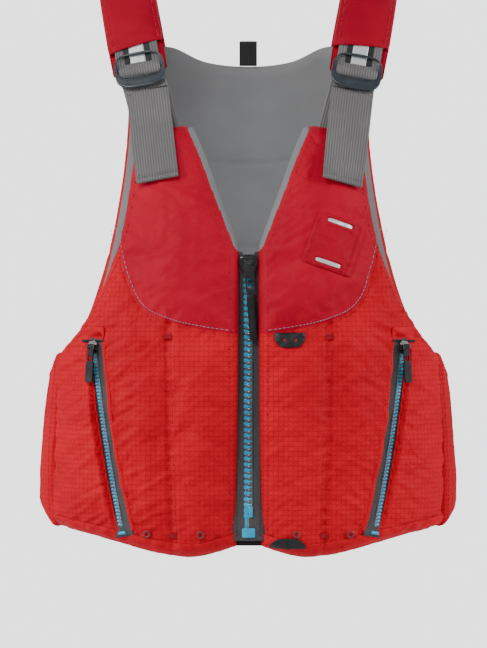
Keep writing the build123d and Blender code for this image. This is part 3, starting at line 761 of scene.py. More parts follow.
def rounded_patch(centre, size, tilt, corner, count):
    """A grid over a rounded rectangle, tilted in degrees."""
    u, v = square_grid(*count, -1)
    pull = 1 - corner * np.abs(u * v) ** 5
    a, b = u * size[0] / 2 * pull, v * size[1] / 2 * pull
    turn = math.radians(tilt)
    return (centre[0] + a * math.cos(turn) - b * math.sin(turn),
            centre[1] + a * math.sin(turn) + b * math.cos(turn))


def between(start, end, count):
    """Points in a straight line."""
    t = np.linspace(0, 1, count)[:, None]
    return (1 - t) * np.array(start, float) + t * np.array(end, float)


def offset_line(line, amount):
    """A line in (x, z) moved sideways, to its left as it is walked along."""
    line = np.array(line, float)
    tangent = tangents_of(line)
    return line + amount * np.stack((-tangent[:, 1], tangent[:, 0]), axis=1)


def sew(shell, line, side=1, back=False, **kinds):
    """Stitches along a line drawn in (x, z) millimetres."""
    line = np.array(line, float)
    points, normals = shell.drape(side * line[:, 0], line[:, 1], 0.12, back)
    return stitch_line(points, normals, **kinds)


# ================================================================ camera, light and floor
FLOOR_Z, FLOOR_RADIUS, FLOOR_EDGES = -0.62, 4, 96
CAMERA = (-0.0053, -2.985, 0.247)
LENS = 150.8
WORLD_COLOUR, WORLD_LIGHT, WORLD_SEEN = (0.92, 0.93, 0.95, 1.0), 0.24, 2.6
LIGHT_TARGET = Vector((0, 0, 0.3))
# Label, place, size in metres, watts and colour
LIGHTS = (("key", (-0.9, -2.0, 2.1), 1.0, 40, (1.0, 0.99, 0.97)),
          ("left", (-2.2, -0.8, 0.9), 1.8, 50, (1, 1, 1)),
          ("right", (2.2, -0.8, 0.9), 1.8, 48, (1, 1, 1)),
          ("rim_left", (-1.2, 1.7, 2.1), 1.6, 18, (1, 1, 1)),
          ("rim_right", (1.2, 1.7, 2.1), 1.6, 18, (1, 1, 1)))


def camera_and_light():
    """The camera, the lamps, a world that is paler where the camera sees it, and the floor."""
    data = bpy.data.cameras.new("camera")
    data.lens, data.sensor_width, data.sensor_fit = LENS, 36, "AUTO"
    camera = bpy.data.objects.new("camera", data)
    camera.location, camera.rotation_euler = CAMERA, (math.pi / 2, 0, 0)
    bpy.context.scene.collection.objects.link(camera)
    bpy.context.scene.camera = camera
    for label, position, size, power, tint in LIGHTS:
        light = bpy.data.lights.new(label, "AREA")
        light.energy, light.size, light.color = power, size, tint
        lamp = bpy.data.objects.new(label, light)
        lamp.location = position
        lamp.rotation_euler = (LIGHT_TARGET - Vector(position)).to_track_quat("-Z", "Y").to_euler()
        bpy.context.scene.collection.objects.link(lamp)
    world = bpy.data.worlds.new("world")
    world.use_nodes = True
    tree = world.node_tree
    background = tree.nodes["Background"]
    background.inputs[0].default_value = WORLD_COLOUR
    seen = tree.nodes.new("ShaderNodeLightPath").outputs["Is Camera Ray"]
    strength = tree.nodes.new("ShaderNodeMapRange")
    strength.inputs["To Min"].default_value, strength.inputs["To Max"].default_value = WORLD_LIGHT, WORLD_SEEN
    tree.links.new(seen, strength.inputs["Value"])
    tree.links.new(strength.outputs[0], background.inputs[1])
    bpy.context.scene.world = world
    angle = round_angles(FLOOR_EDGES)
    disc = np.column_stack((FLOOR_RADIUS * np.cos(angle), FLOOR_RADIUS * np.sin(angle),
                            np.full(FLOOR_EDGES, FLOOR_Z)))
    new_object("floor", disc, [tuple(range(FLOOR_EDGES))], ["floor"], smooth=False)


camera_and_light()


def lock_axes(side):
    """A ladder lock's origin in metres, and its directions up the strap and outward."""
    lean, slope = math.radians(STRAP_LEAN), math.radians(STRAP_SLOPE)
    up = np.array((side * math.sin(lean), 0, math.cos(lean)))
    back = np.array((0.0, 1.0, 0.0))
    along = back * math.sin(slope) + up * math.cos(slope)
    outward = up * math.sin(slope) - back * math.cos(slope)
    return np.array((side * STRAP_X, STRAP_Y, STRAP_Z)) * MM, along, outward


# ================================================================ padded front panels
PANEL_GRID = (104, 210)
SEAM_TOP_Z = 219
EDGE_ROLL, HEM_ROLL = 17.0, 11.0
MID_DEPTH = 17.0
POCKET_NORMAL_Z = 128.0
POCKET_CURVE = 3.0


def roll(distance, radius):
    """How far a rounded edge has fallen, from 1 at the edge to 0 at its radius."""
    t = np.clip(1 - distance / radius, 0, 1)
    return 1 - np.sqrt(1 - t ** 2)


def pocket_axes(side):
    """The pocket zip's origin, its directions across, up and outwards, and its length, in metres."""
    top, bottom = (body_line([p], side)[0] for p in (POCKET_TOP, POCKET_BOTTOM))
    x = side * (POCKET_TOP[0] + POCKET_BOTTOM[0]) / 2
    height = np.array([POCKET_NORMAL_Z])
    normal = body_normal(angle_at(np.array([x]), height), height)[0]
    length = np.linalg.norm(top - bottom)
    up = (top - bottom) / length
    across = np.cross(up, normal)
    across /= np.linalg.norm(across)
    return top, across, up, np.cross(across, up), length


def pocket_bend(share):
    """How far the pocket zip bows towards the side, in metres, at a share of its length."""
    return POCKET_CURVE * MM * 4 * np.clip(share, 0, 1) * (1 - np.clip(share, 0, 1))


def carve_pocket(points, side):
    """Sinks the slot that the pocket zip lies in."""
    top, across, up, normal, length = pocket_axes(side)
    local = points - top
    a, below, n = local @ across, -(local @ up), local @ normal
    share, below = below / length, below / MM
    a = (side * a - pocket_bend(share)) / MM
    high = 1 - np.clip(share, 0, 1)
    middle, half = 2.5 + 1.4 * high, 8.0 + 1.4 * high
    inside = (1 - smoothstep(np.abs(a + middle), half, half + 2.5)) * smoothstep(below, -9, -3)
    inside = inside * (1 - smoothstep(below, length / MM + 3, length / MM + 9))
    lip = bell(np.abs(a + middle) - half - 4.5, 3.0) * 0.9 * MM
    target = np.minimum(n, -1.1 * MM)
    move = inside * (target - n) + lip * smoothstep(below, -9, 3) * (1 - smoothstep(below, 195, 210))
    return points + normal * move[..., None]


INFLATE_FRAMES, INFLATE_PRESSURE, INFLATE_CAP = 20, 4.0, 5.0


def inflate(points, pinned, side):
    """Lets the cloth of a panel swell and crease between its seams, moving no point further than the cap."""
    nu, nv = points.shape[:2]
    obj = new_object("cloth_trial", points.reshape(-1, 3), grid_faces(nu, nv, 0, side < 0), [])
    group = obj.vertex_groups.new(name="pinned")
    flat = pinned.ravel()
    for k in np.nonzero(flat > 0.01)[0]:
        group.add([int(k)], float(flat[k]), "REPLACE")
    cloth = obj.modifiers.new("cloth", "CLOTH").settings
    cloth.quality, cloth.mass = 6, 0.15
    cloth.vertex_group_mass = "pinned"
    cloth.tension_stiffness = cloth.compression_stiffness = 20
    cloth.shear_stiffness, cloth.bending_stiffness = 8, 0.15
    cloth.shrink_min = -0.018
    cloth.use_pressure, cloth.uniform_pressure_force = True, INFLATE_PRESSURE
    cloth.effector_weights.gravity = 0
    for frame_number in range(1, INFLATE_FRAMES + 1):
        bpy.context.scene.frame_set(frame_number)
    mesh = obj.evaluated_get(bpy.context.evaluated_depsgraph_get()).to_mesh()
    moved = np.array([v.co[:] for v in mesh.vertices]).reshape(points.shape)
    bpy.data.objects.remove(obj)
    bpy.context.scene.frame_set(1)
    step = moved - points
    size = np.linalg.norm(step, axis=-1, keepdims=True)
    limit = INFLATE_CAP * MM
    return points + step * (limit * np.tanh(size / limit) / np.maximum(size, 1e-9))


def press_under_tail(points, normal, side):
    """Keeps the panel behind the strap's loose tail that lies on it."""
    origin, along, outward = lock_axes(side)
    local = points - origin
    level = np.cross(along, outward)
    t, n, a = (local @ along) / MM, (local @ outward) / MM, np.abs(local @ level) / MM
    tail = np.array(TAIL_PATH)[::-1]
    limit = np.interp(t, tail[:, 0], tail[:, 1]) - 1.9
    near = (1 - smoothstep(a, 27, 36)) * smoothstep(t, -152, -138) * smoothstep(n, -20, -14)
    excess = np.clip(n - limit, 0, None) * near
    return points - normal * (excess / np.clip(normal @ outward, 0.5, 1) * MM)[..., None]


def seam_y(z):
    """The side seam leans back a little as it rises."""
    return SEAM_Y + 0.035 * (z - 120)


def seam_x(z):
    """How far out the side seam lies at a height."""
    half_width, front, _ = section(z)
    return half_width * (1 - ((SIDE_LINE_Y - seam_y(z)) / front) ** ROUNDNESS) ** (1 / ROUNDNESS)


def front_panel(side, name):
    """One padded front: its outline filled in, rounded at the edges, creased and inflated."""
    nu, nv = PANEL_GRID
    share, rise = eased(nu, 0.5), eased(nv, 0.35)
    left = np.vstack((between(NECKLINE[0], HEM[0], 2)[::-1], smooth_curve(NECKLINE, 90)[1:]))
    seam_z = np.linspace(HEM[-1][1], SEAM_TOP_Z, 40)
    arm = smooth_curve(ARMHOLE, 120)
    right = np.vstack((np.column_stack((seam_x(seam_z), seam_z)), arm[arm[:, 1] > SEAM_TOP_Z + 2]))
    bottom = at_shares(smooth_curve(HEM, 400), share)
    top = at_shares(smooth_curve(SHOULDER_TOP, 200), share)
    left = at_heights(left, HEM[0][1] + rise * (NECKLINE[-1][1] - HEM[0][1]))
    right = at_heights(right, HEM[-1][1] + rise * (ARMHOLE[-1][1] - HEM[-1][1]))
    grid = coons(bottom, top, left, right)
    x, z = side * grid[..., 0], grid[..., 1]
    angle = angle_at(x, z)
    base, normal = body_point(angle, z), body_normal(angle, z)

    others = np.vstack((base[0], base[-1], base[:, -1]))
    d_hem, d_other = nearest_mm(base, body_line(bottom, side)), nearest_mm(base, others)
    d_neck = nearest_mm(base, body_line(smooth_curve(NECKLINE, 200), side))
    seam = smooth_curve(YOKE_SEAM, 400)
    yoke_distance, above = distance_field(grid, seam)
    yoke = yoke_distance * above
    d_yoke = nearest_mm(base, body_line(seam, side))
    d_princess = np.where(yoke > 2, 200, nearest_mm(base, body_line(smooth_curve(PRINCESS, 300), side)))
    d_pocket = nearest_mm(base, body_line(between(POCKET_TOP, POCKET_BOTTOM, 200), side))
    d_edge = np.minimum(d_hem, d_other)
    d_seam = np.minimum(np.minimum(d_edge, d_yoke), d_princess)

    fallen = np.maximum(roll(d_other, EDGE_ROLL), roll(d_hem, HEM_ROLL))
    inset = (MID_DEPTH - 0.3) * fallen
    inset -= 2.6 * (1 - bell(d_seam, 26)) * (1 - fallen)
    along = np.where(d_yoke < d_princess, grid[..., 0], z)
    pucker = 0.5 + 0.5 * np.sin(along * 0.55 + 2.0 * noise_field(grid, (30, 30), 3.0 + side))
    inset += 2.7 * bell(d_princess, 4.6) + 0.7 * pucker * bell(d_princess, 8)
    inset += 1.5 * bell(yoke + 0.8, 2.4) * (1 - fallen) + 0.55 * pucker * bell(d_yoke, 9)
    inset -= 0.9 * smoothstep(yoke, -0.4, 1.6) * np.exp(-np.clip(yoke, 0, None) / 40) * (1 - fallen)
    leaning = np.stack((grid[..., 0] + 0.5 * z, z - 0.7 * grid[..., 0]), axis=-1)
    wrinkles = (1.9 * noise_field(grid, (34, 90), 11.0 + side, 3)
                + 2.3 * noise_field(leaning, (70, 17), 17.0 + side, 3)
                + 0.9 * noise_field(grid, (14, 20), 23.0 + side, 2))
    pulled = pairs(0.5 * grid[..., 0] + 0.87 * z, 0.87 * grid[..., 0] - 0.5 * z)
    ridges = 1 - np.abs(noise_field(pulled, (13, 75), 53.0 + side, 2)) * 2.4
    ridges = np.clip(ridges, 0, 1) ** 3
    to_pocket = bell((d_pocket - 22).clip(0), 34) * smoothstep(d_pocket, 10, 22)
    wrinkles = wrinkles + ridges * (0.9 + 1.6 * to_pocket) * np.where(yoke > 0, 0.7, 1.0)
    hem_puckers = 0.8 * noise_field(grid, (9, 60), 31.0 + side, 2) * np.exp(-(d_hem - 12).clip(0) / 16)
    inset -= (wrinkles + 1.4 * hem_puckers) * (1 - fallen) * np.where(yoke > 0, 0.8, 1.0)
    inset += 0.9 * bell(d_neck - 5.8, 1.3)

    outer = base - normal * (inset * MM)[..., None]
    outer = carve_pocket(outer, side)
    inner_inset = FOAM_DEPTH - (FOAM_DEPTH - MID_DEPTH - 0.3) * fallen
    inner_inset += 0.8 * noise_field(grid, (40, 60), 41.0 + side, 2) * (1 - fallen)
    inner = base - normal * (inner_inset * MM)[..., None]
    held = np.maximum(np.exp(-(d_edge / 7) ** 4), np.maximum(bell(d_yoke, 4),
                                                              bell(d_princess, 4)))
    held = np.maximum(held, 1 - smoothstep(d_pocket, 14, 22))
    outer = inflate(outer, held, side)
    outer = press_under_tail(outer, normal, side)

    arc = np.linalg.norm(np.diff(base, axis=0), axis=-1) / MM
    across = np.vstack((np.zeros((1, nv)), np.cumsum(arc, axis=0))) + grid[:1, :, 0]
    cloth = np.stack((across, z), axis=-1)
    near_neck = (d_neck < 5.6)
    cells = near_neck[:-1, :-1] & near_neck[1:, :-1] & near_neck[:-1, 1:] & near_neck[1:, 1:]
    parts = ("yoke_foam", "centre_foam", "side_foam", "yoke_cover", "front_cover", "front_liner",
             "pocket_lining")
    obj = closed_pad(f"{name}_front_panel", outer, inner, ["panel", "liner"], side < 0, cloth,
                     f"{name}_front", "outer_fabric", [f"{name}_{part}" for part in parts], [("yoke", yoke)],
                     cells.ravel().astype(int))
    return Shell(obj), outer, inner


def hem_binding(side, name, outer, inner):
    """The folded tape over a panel's hem."""
    rows = [outer[:, j] for j in range(9, -1, -1)] + [inner[:, j] for j in range(0, 7)]
    band = np.stack(rows, axis=1)[1:-1]
    normal = grid_normals(band) * -side
    grid = np.stack(np.meshgrid(np.linspace(0, 200, len(band)), np.linspace(0, 24, band.shape[1]),
                                indexing="ij"), axis=-1)
    ripple = 0.35 * noise_field(grid, (7, 30), 51.0 + side, 2)
    top = band + normal * ((1.15 + ripple) * MM)[..., None]
    closed_pad(f"{name}_hem_tape", top, band - normal * 0.3 * MM, ["red"], side > 0, grid, f"{name}_front",
               "outer_fabric", (f"{name}_hem_binding",))


def seams(side, name, shell):
    """Topstitching of one front panel."""
    princess = smooth_curve(PRINCESS, 200)
    inside = princess[(princess[:, 1] > 14) & (princess[:, 1] < 244)]
    seam = smooth_curve(YOKE_SEAM, 260)
    seam = seam[(seam[:, 0] > 15) & (seam[:, 1] < 350)]
    blue = sew(shell, offset_line(seam, 3.4), side, length=3.2, gap=1.5, radius=0.36)
    red = sew(shell, offset_line(inside, -3.6), side) + sew(shell, offset_line(inside, 3.6), side)
    red += sew(shell, offset_line(seam, -2.6), side, length=2.6, gap=1.3, radius=0.3)
    for line in (offset_line(smooth_curve(NECKLINE, 160)[8:-4], -9.6), between((19.5, 26), (19.5, 322), 160),
                 offset_line(smooth_curve(ARMHOLE, 200)[16:-6], 10.5), between((126, 31), (150, 44), 20),
                 between((104, 250), (101, 262), 20), offset_line(smooth_curve(HEM, 200)[4:-4], 13.5)):
        red += sew(shell, line, side)
    for bar_z in (232, 22):
        x_mid = np.interp(bar_z, princess[::-1, 1], princess[::-1, 0])
        for k in range(5):
            bar = between((x_mid - 5, bar_z + 1.1 * k), (x_mid + 5, bar_z + 1.1 * k), 4)
            red += sew(shell, bar, side, length=9.0, gap=0.5, radius=0.4)
    joined(f"{name}_topstitch", red, "red_thread", f"{name}_front", "outer_fabric")
    joined(f"{name}_yoke_topstitch", blue, "blue_thread", f"{name}_front", "outer_fabric")


shells = {}
for side, name in SIDES:
    shells[name], outer_grid, inner_grid = front_panel(side, name)
    hem_binding(side, name, outer_grid, inner_grid)
    seams(side, name, shells[name])


# ================================================================ zips
# Half a tooth's outline, from the block clamped to the tape to the rounded head, in shares of its size
TOOTH_OUTLINE = np.array(((-0.62, 0.10), (-0.58, 0.30), (-0.50, 0.36), (0.06, 0.36), (0.14, 0.28),
                          (0.17, 0.12), (0.27, 0.12), (0.31, 0.20), (0.40, 0.22), (0.46, 0.16), (0.48, 0.06)))
TOOTH_LAYERS = ((-0.5, 0.97), (0.22, 1.0), (0.42, 0.93), (0.5, 0.80))


def tooth(width, pitch, depth):
    """One moulded zip tooth as (vertices, faces), pointing along the first direction."""
    outline = np.vstack((TOOTH_OUTLINE, TOOTH_OUTLINE[::-1] * (1, -1)))
    middle = outline.mean(axis=0)
    rings = []
    for n, scale in TOOTH_LAYERS:
        ring = middle + (outline - middle) * scale
        rings.append(np.column_stack((ring[:, 0] * width, ring[:, 1] * pitch, np.full(len(ring), depth * n))))
    return np.vstack(rings), tube_faces(len(TOOTH_LAYERS), len(outline))


def chain(name, row, centre_line, across, normal, pitch, width, depth, body, material, *nodes):
    """One row of teeth along a line in metres: row is -1 or 1, the side that its tape is on."""
    count = int(curve_length(centre_line) / (pitch * MM))
    points = resample(centre_line, count * 2 + 1)
    tangents = tangents_of(points)
    shape, faces = tooth(width, pitch, depth)
    items = []
    for index in range(int(row > 0), 2 * count, 2):
        up = tangents[index]
        inward = unit(np.cross(up, normal))
        if inward @ across * row > 0:
            inward = -inward
        placed = (points[index] + shape[:, :1] * MM * inward + shape[:, 1:2] * MM * up
                  + shape[:, 2:] * MM * normal)
        items.append((placed, faces))
    joined(name, items, material, body, "zip_teeth", *nodes)


def tape_strip(name, line, across, normal, inner, outer, thickness, body, nodes=(), crown=0.0, part=0.0):
    """A zip tape between two distances from the chain's middle line, given as points in metres. At the line's
    end the tape's inner edge parts from the middle."""
    near = inner + part * smoothstep(np.linspace(0, 1, len(line)), 0.955, 1.0)[:, None]
    offsets = near + (outer - near) * np.linspace(0, 1, 9)[None, :]
    cord_edge = bell(offsets - near, 1.2) * 0.5
    wave = 0.25 * np.sin(np.linspace(0, 40, len(line)))[:, None]
    top = (line[:, None] + across * offsets[..., None] * MM
           + normal * (thickness / 2 + cord_edge + crown * (offsets / outer) ** 2 + wave)[..., None] * MM)
    bottom = top - normal * thickness * MM
    cloth = pairs(offsets, distances_along(line)[:, None] / MM)
    flip = float(np.dot(np.cross(line[1] - line[0], across * (outer - inner)), normal)) < 0
    closed_pad(name, top, bottom, ["tape"], flip, cloth, body, "zip_tape", nodes)


def front_zip():
    """The centre zip: its teeth, tapes, pins, retainer box, slider and pull."""
    for side, name in SIDES:
        body = f"{name}_front"
        line = between((0, ZIP_Y * MM, (ZIP_BOTTOM + 1) * MM), (0, ZIP_Y * MM, ZIP_TOP * MM), 60)
        chain(f"{name}_zip_teeth_row", side, line, LEFTWARD, FRONT, TOOTH_PITCH, 8.4, 3.4, body,
              "teeth" if side < 0 else "dark_teeth", f"{name}_zip_teeth")
        tape_line = between((0, ZIP_Y * MM, 19 * MM), (0, ZIP_Y * MM, (ZIP_TOP + 5) * MM), 150)
        tape_strip(f"{name}_zip_tape_strip", tape_line, LEFTWARD * side, FRONT, 0.03, 17.0, 1.1, body,
                   (f"{name}_zip_tape",), crown=-1.2, part=6.5)
        seam_x_m, seam_y_m = side * 12.4 * MM, (ZIP_Y - 0.9) * MM
        sewn = between((seam_x_m, seam_y_m, 0.024), (seam_x_m, seam_y_m, 0.318), 120)
        joined(f"{name}_zip_stitching", stitch_line(sewn, FRONT), "black_thread", body, "zip_tape")
    rounded_copy("zip_retainer_box", "retainer_box", "teeth", 0.4, 3, "zip_teeth")
    rounded_copy("zip_insertion_pin", "insertion_pin", "teeth", 0.35, 2, "zip_teeth")
    pin_y = (ZIP_Y - 0.6) * MM
    for side, name in SIDES:
        foot = between((side * 2.35 * MM, pin_y, 0.0438), (side * 2.25 * MM, pin_y, 0.0552), 14)
        sweep(f"{name}_zip_pin", foot, FRONT, rounded_section(4.4, 3.0, 4.0, 20), "teeth", f"{name}_front",
              "zip_teeth")
    rounded_copy("front_zip_slider", "front_slider", "zip_black", 0.38, 3, "zip_metal")
    slider_wings()
    rounded_copy("front_zip_pull", "front_pull", "zip_black", 0.35, 3, "zip_metal")
    rubber_tab("front_pull_tab", "front_zip_tab", "front_pull_body", (0, (ZIP_Y - 7.0) * MM, 0.312), 34, 48,
               9.4, 3.8)


def slider_wings():
    """The broad flanges of the slider, wide at its mouth and narrow at its tail."""
    u, v = square_grid(30, 26)
    ends = dome(2 * v - 1, 5)
    half = (10.6 - 4.4 * smoothstep(v, 0.25, 1.0)) * (0.62 + 0.38 * ends)
    rise = (1.5 * dome(u, 4) * ends)[..., None]
    base = np.stack((u * half, np.full(u.shape, ZIP_Y - 3.7), 318.5 - 22.0 * v), axis=-1) * MM
    closed_pad("front_slider_wings", base + FRONT * rise * MM, base - FRONT * rise * MM, ["zip_black"], True,
               pairs(u * half, v * 22), "front_slider_body", "zip_metal")


def rubber_tab(name, node, body, pivot, start, length, width, thickness):
    """The long moulded pull tab: waisted, crowned, with grip ridges and a soft edge."""
    turn = math.radians(4)
    across = np.array((math.cos(turn), 0, math.sin(turn)))
    down = np.array((math.sin(turn), 0, -math.cos(turn)))
    u, v = square_grid(24, 90)
    ends = dome(2 * v - 1, 14)
    half = width / 2 * (1 - 0.10 * np.sin(math.pi * v)) * (0.35 + 0.65 * ends)
    rise = dome(u, 3.5) * (0.2 + 0.8 * ends)
    ridge = (0.35 * smoothstep(np.abs(v - 0.62), 0.30, 0.24)
             * (0.5 + 0.5 * np.cos(2 * math.pi * v * length / 3.2)))
    height = thickness / 2 * rise + ridge * rise * (np.abs(u) < 0.72)
    base = (np.array(pivot) + (u * half)[..., None] * MM * across
            + ((start + v * length) * MM)[..., None] * down)
    top, bottom = base + FRONT * height[..., None] * MM, base - FRONT * (thickness / 2 * rise)[..., None] * MM
    closed_pad(name, top, bottom, ["rubber"], True, pairs(u * half, v * length), body, "rubber_parts", (node,))


def pocket_zip(side, name, shell):
    """A pocket's zip with its tapes, welts and the hood over its top."""
    top, across, up, normal, length = pocket_axes(side)
    across = across * side * (1 if (across * side)[0] * side > 0 else -1)
    body = f"{name}_front"
    share = np.linspace(0, 1, 120)[:, None]
    line = (top - up * length * share + across * pocket_bend(share))[::-1]
    for row, label, material in ((-1, "inner", "dark_teeth"), (1, "outer", "teeth")):
        chain(f"{name}_pocket_teeth_{label}", row, line[4:-1], across, normal, POCKET_TOOTH_PITCH, 5.6, 2.7,
              body, material)
    reach = np.vstack((line[0] - up * 5 * MM, line, line[-1] + up * 5 * MM))
    tape_strip(f"{name}_pocket_tape_inner", reach, -across, normal, 0.15, 13.0, 0.9, body,
               (f"{name}_pocket_zip",))
    tape_strip(f"{name}_pocket_tape_outer", reach, across, normal, 0.15, 8.5, 0.9, body)
    for label, shift, spread in (("inner", -13.8, 2.8), ("outer", 6.2, 0.0)):
        points = line + across * (shift - spread * (1 - share[::-1])) * MM
        lifted, normals = shell.onto(points, normal, 0.2)
        lifted = smooth_points(lifted, 6)
        sweep(f"{name}_pocket_welt_{label}", lifted, normals, rounded_section(4.0, 2.0, 2.6, 20), "red", body,
              "outer_fabric")
        edge = smooth_points(lifted + normals * 1.05 * MM, 4)
        joined(f"{name}_pocket_stitch_{label}", stitch_line(edge, normals), "red_thread", body, "outer_fabric")
    foot = top - up * (length + 0.5 * MM)
    stop = between(foot - across * 4.5 * MM, foot + across * 4.5 * MM, 8) + normal * 0.8 * MM
    sweep(f"{name}_pocket_bottom_stop", stop, normal, rounded_section(3.4, 3.0, 3.0, 16), "teeth", body,
          "zip_teeth")
    rounded_copy(f"{name}_pocket_slider", f"{name}_pocket_zip_slider", "zip_black", 0.35, 3, "zip_metal")
    rounded_copy(f"{name}_pocket_pull", f"{name}_pocket_zip_pull", "rubber", 0.35, 3, "rubber_parts")
    pocket_hood(side, name, shell)


def pocket_hood(side, name, shell):
    """The small cloth hood over the top of a pocket zip, with a dark strip along its lower edge that is painted
    shadow.
    """
    x, z = rounded_patch((POCKET_TOP[0] - 2, POCKET_TOP[1] + 7.5), (25, 15), 0, 0.04, (26, 16))
    slab(f"{name}_pocket_hood", shell, side * x, z, 1.0, "red", side < 0, 0.8, 10, f"{name}_front",
         "outer_fabric")
    # A dark strip along the hood's lower edge: painted shadow where the hood overhangs the zip.
    points, normals = shell.drape(side * x[:, 0], z[:, 0], 1.5)
    sweep(f"{name}_pocket_hood_painted_shadow", smooth_points(points, 4), normals, rounded_section(2.6, 2.4, 2.4, 14),
          "black_webbing", f"{name}_front", "outer_fabric")


def smooth_points(points, rounds):
    """A line of points with its small bends taken out."""
    points = points.copy()
    for _ in range(rounds):
        points[1:-1] = (points[:-2] + 2 * points[1:-1] + points[2:]) / 4
    return points


front_zip()
for side, name in SIDES:
    pocket_zip(side, name, shells[name])


# ================================================================ shoulder straps
def strap_point(side, y, z):
    """A point of a strap's leaning plane, from y and z in millimetres."""
    return np.array((side * (STRAP_X + (z - STRAP_Z) * math.tan(math.radians(STRAP_LEAN))), y, z)) * MM


def strap_path(side, profile, count):
    """A path in a ladder lock's profile plane, set down to where this side's lock is, with outward normals."""
    origin, along, outward = lock_axes(side)
    flat = smooth_curve(profile, count)
    points = origin + flat[:, :1] * MM * along + flat[:, 1:] * MM * outward
    tangent = tangents_of(flat)
    normals = -tangent[:, 1:] * along + tangent[:, :1] * outward
    if normals[0] @ outward < 0:
        normals = -normals
    return points - along * LOCK_DROP[side] * MM, normals


def strap_frame(side):
    """A strap's middle at its ladder lock, with its level, rising and outward directions."""
    origin, along, outward = lock_axes(side)
    return origin - along * LOCK_DROP[side] * MM, np.cross(outward, along), along, outward


def woven_strap(name, points, normals, width, thickness, material, body, slot, *nodes, ripple=0.0, seed=1.0):
    """A webbing strap with softly waving edges."""
    waves = np.array([noise.noise(Vector((k * 0.09, seed, 3.3))) for k in range(len(points))])
    sweep(name, points + normals * (waves * ripple * MM)[:, None], normals,
          flat_section(width, thickness, 24),
          material, body, slot, *nodes)


def blend_over_shoulder(obj):
    """Bakes a piece's placement into its mesh."""
    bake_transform(obj)


SLEEVE_SIDES, SLEEVE_STITCH_X, SLEEVE_HEM_X = 56, 25.5, 26


def sleeve(side, name):
    """The padded sleeve over one shoulder, from the back of the neck to its mouth above the ladder lock."""
    flat = smooth_curve(SLEEVE_PATH, 120)
    points = np.array([strap_point(side, y, z) for y, z in flat])
    tangent = tangents_of(points)
    lean = math.radians(STRAP_LEAN)
    level = np.array((math.cos(lean), 0, -side * math.sin(lean)))
    normals = np.cross(level, tangent)
    if normals[len(normals) // 2][2] < 0:
        normals = -normals
    rings, m = [], SLEEVE_SIDES
    share = np.linspace(0, 1, len(points))
    angle = round_angles(m)
    c, s = np.cos(angle), np.sin(angle)
    for k, (p, n) in enumerate(zip(points, normals)):
        swell = 1 + 0.10 * math.sin(math.pi * share[k]) ** 0.5
        mouth = smoothstep(share[k], 0.0, 0.03)
        a = signed_power(c, 0.62) * 30.5 * (0.97 + 0.03 * mouth)
        b = signed_power(s, 0.9) * (5.0 + 1.6 * mouth) * swell
        seam = 0.9 * bell(np.abs(a) - SLEEVE_STITCH_X, 1.6) * np.sign(b)
        crease = np.array([noise.fractal(Vector((x / 22, share[k] * 13, 4.0 + side)), 1.0, 2.0, 2) for x in a])
        b = b - seam + 0.9 * crease * np.sign(b) * mouth
        slant = MOUTH_SLANT * (a / 30) * (1 - smoothstep(share[k], 0.0, 0.16))
        rings.append(p + level * a[:, None] * MM + n * b[:, None] * MM + tangent[k] * slant[:, None] * MM)
    inner = [rings[0] + (points[0] - rings[0]) * 0.06, rings[6] + (points[6] - rings[6]) * 0.16]
    rings = np.array([inner[1], inner[0]] + rings)
    n_rings = len(rings)
    n_rings = len(rings)
    # The sleeve takes the darker red with painted shade.
    obj = new_object(f"{name}_shoulder_sleeve", rings.reshape(-1, 3), tube_faces(n_rings, m), ["sleeve"])
    bpy.context.view_layer.update()
    length = np.concatenate(([-0.004, 0.0], np.linspace(0, curve_length(points), len(points))))
    across = np.broadcast_to((c * 0.03)[None], (n_rings, m))
    set_attribute(obj, "cloth", np.stack((across, np.broadcast_to(length[:, None], (n_rings, m)),
                                          np.zeros((n_rings, m))), axis=-1).reshape(-1, 3))
    place(obj, None, "outer_fabric")
    blend_over_shoulder(obj)
    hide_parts(f"{name}_front_shoulder_pad", "rear_shoulder_pads")
    edges = []
    for shift in (-SLEEVE_STITCH_X, SLEEVE_STITCH_X):
        line = points + level * shift * MM + normals * 5.9 * MM
        edges += stitch_line(line[3:-3], normals[3:-3])
    a = np.linspace(-SLEEVE_HEM_X, SLEEVE_HEM_X, 40)[:, None]
    hem = (points[4] + level * a * MM + tangent[4] * MOUTH_SLANT * a / 30 * MM
           + normals[4] * (6.4 - 0.9 * (abs(a) / SLEEVE_HEM_X) ** 3) * MM)
    edges += stitch_line(hem, normals[4])
    stitches = joined(f"{name}_sleeve_stitching", edges, "red_thread", None, "outer_fabric")
    blend_over_shoulder(stitches)


# Label, distance from the strap's middle, width and material
STRIPES = (("silver", 0.0, 16.5, "reflective"), ("black_a", -11.4, 6.2, "black_thread"),
           ("black_b", 11.4, 6.2, "black_thread"))
STRIPE_PATH = ((40, 1.7), (30, 1.3), (20, 1.0), (11, 1.0))


def reflective_band(side, name):
    """The silver stripe between two black ones, sewn down the upper webbing."""
    points, normals = strap_path(side, STRIPE_PATH, 30)
    level = strap_frame(side)[1]
    for label, shift, width, material in STRIPES:
        sweep(f"{name}_stripe_{label}", points + level * shift * MM, normals, flat_section(width, 0.5, 12),
              material, f"{name}_front", "webbing")


OPENING_HALF, RING_STEPS = 23.2, 11


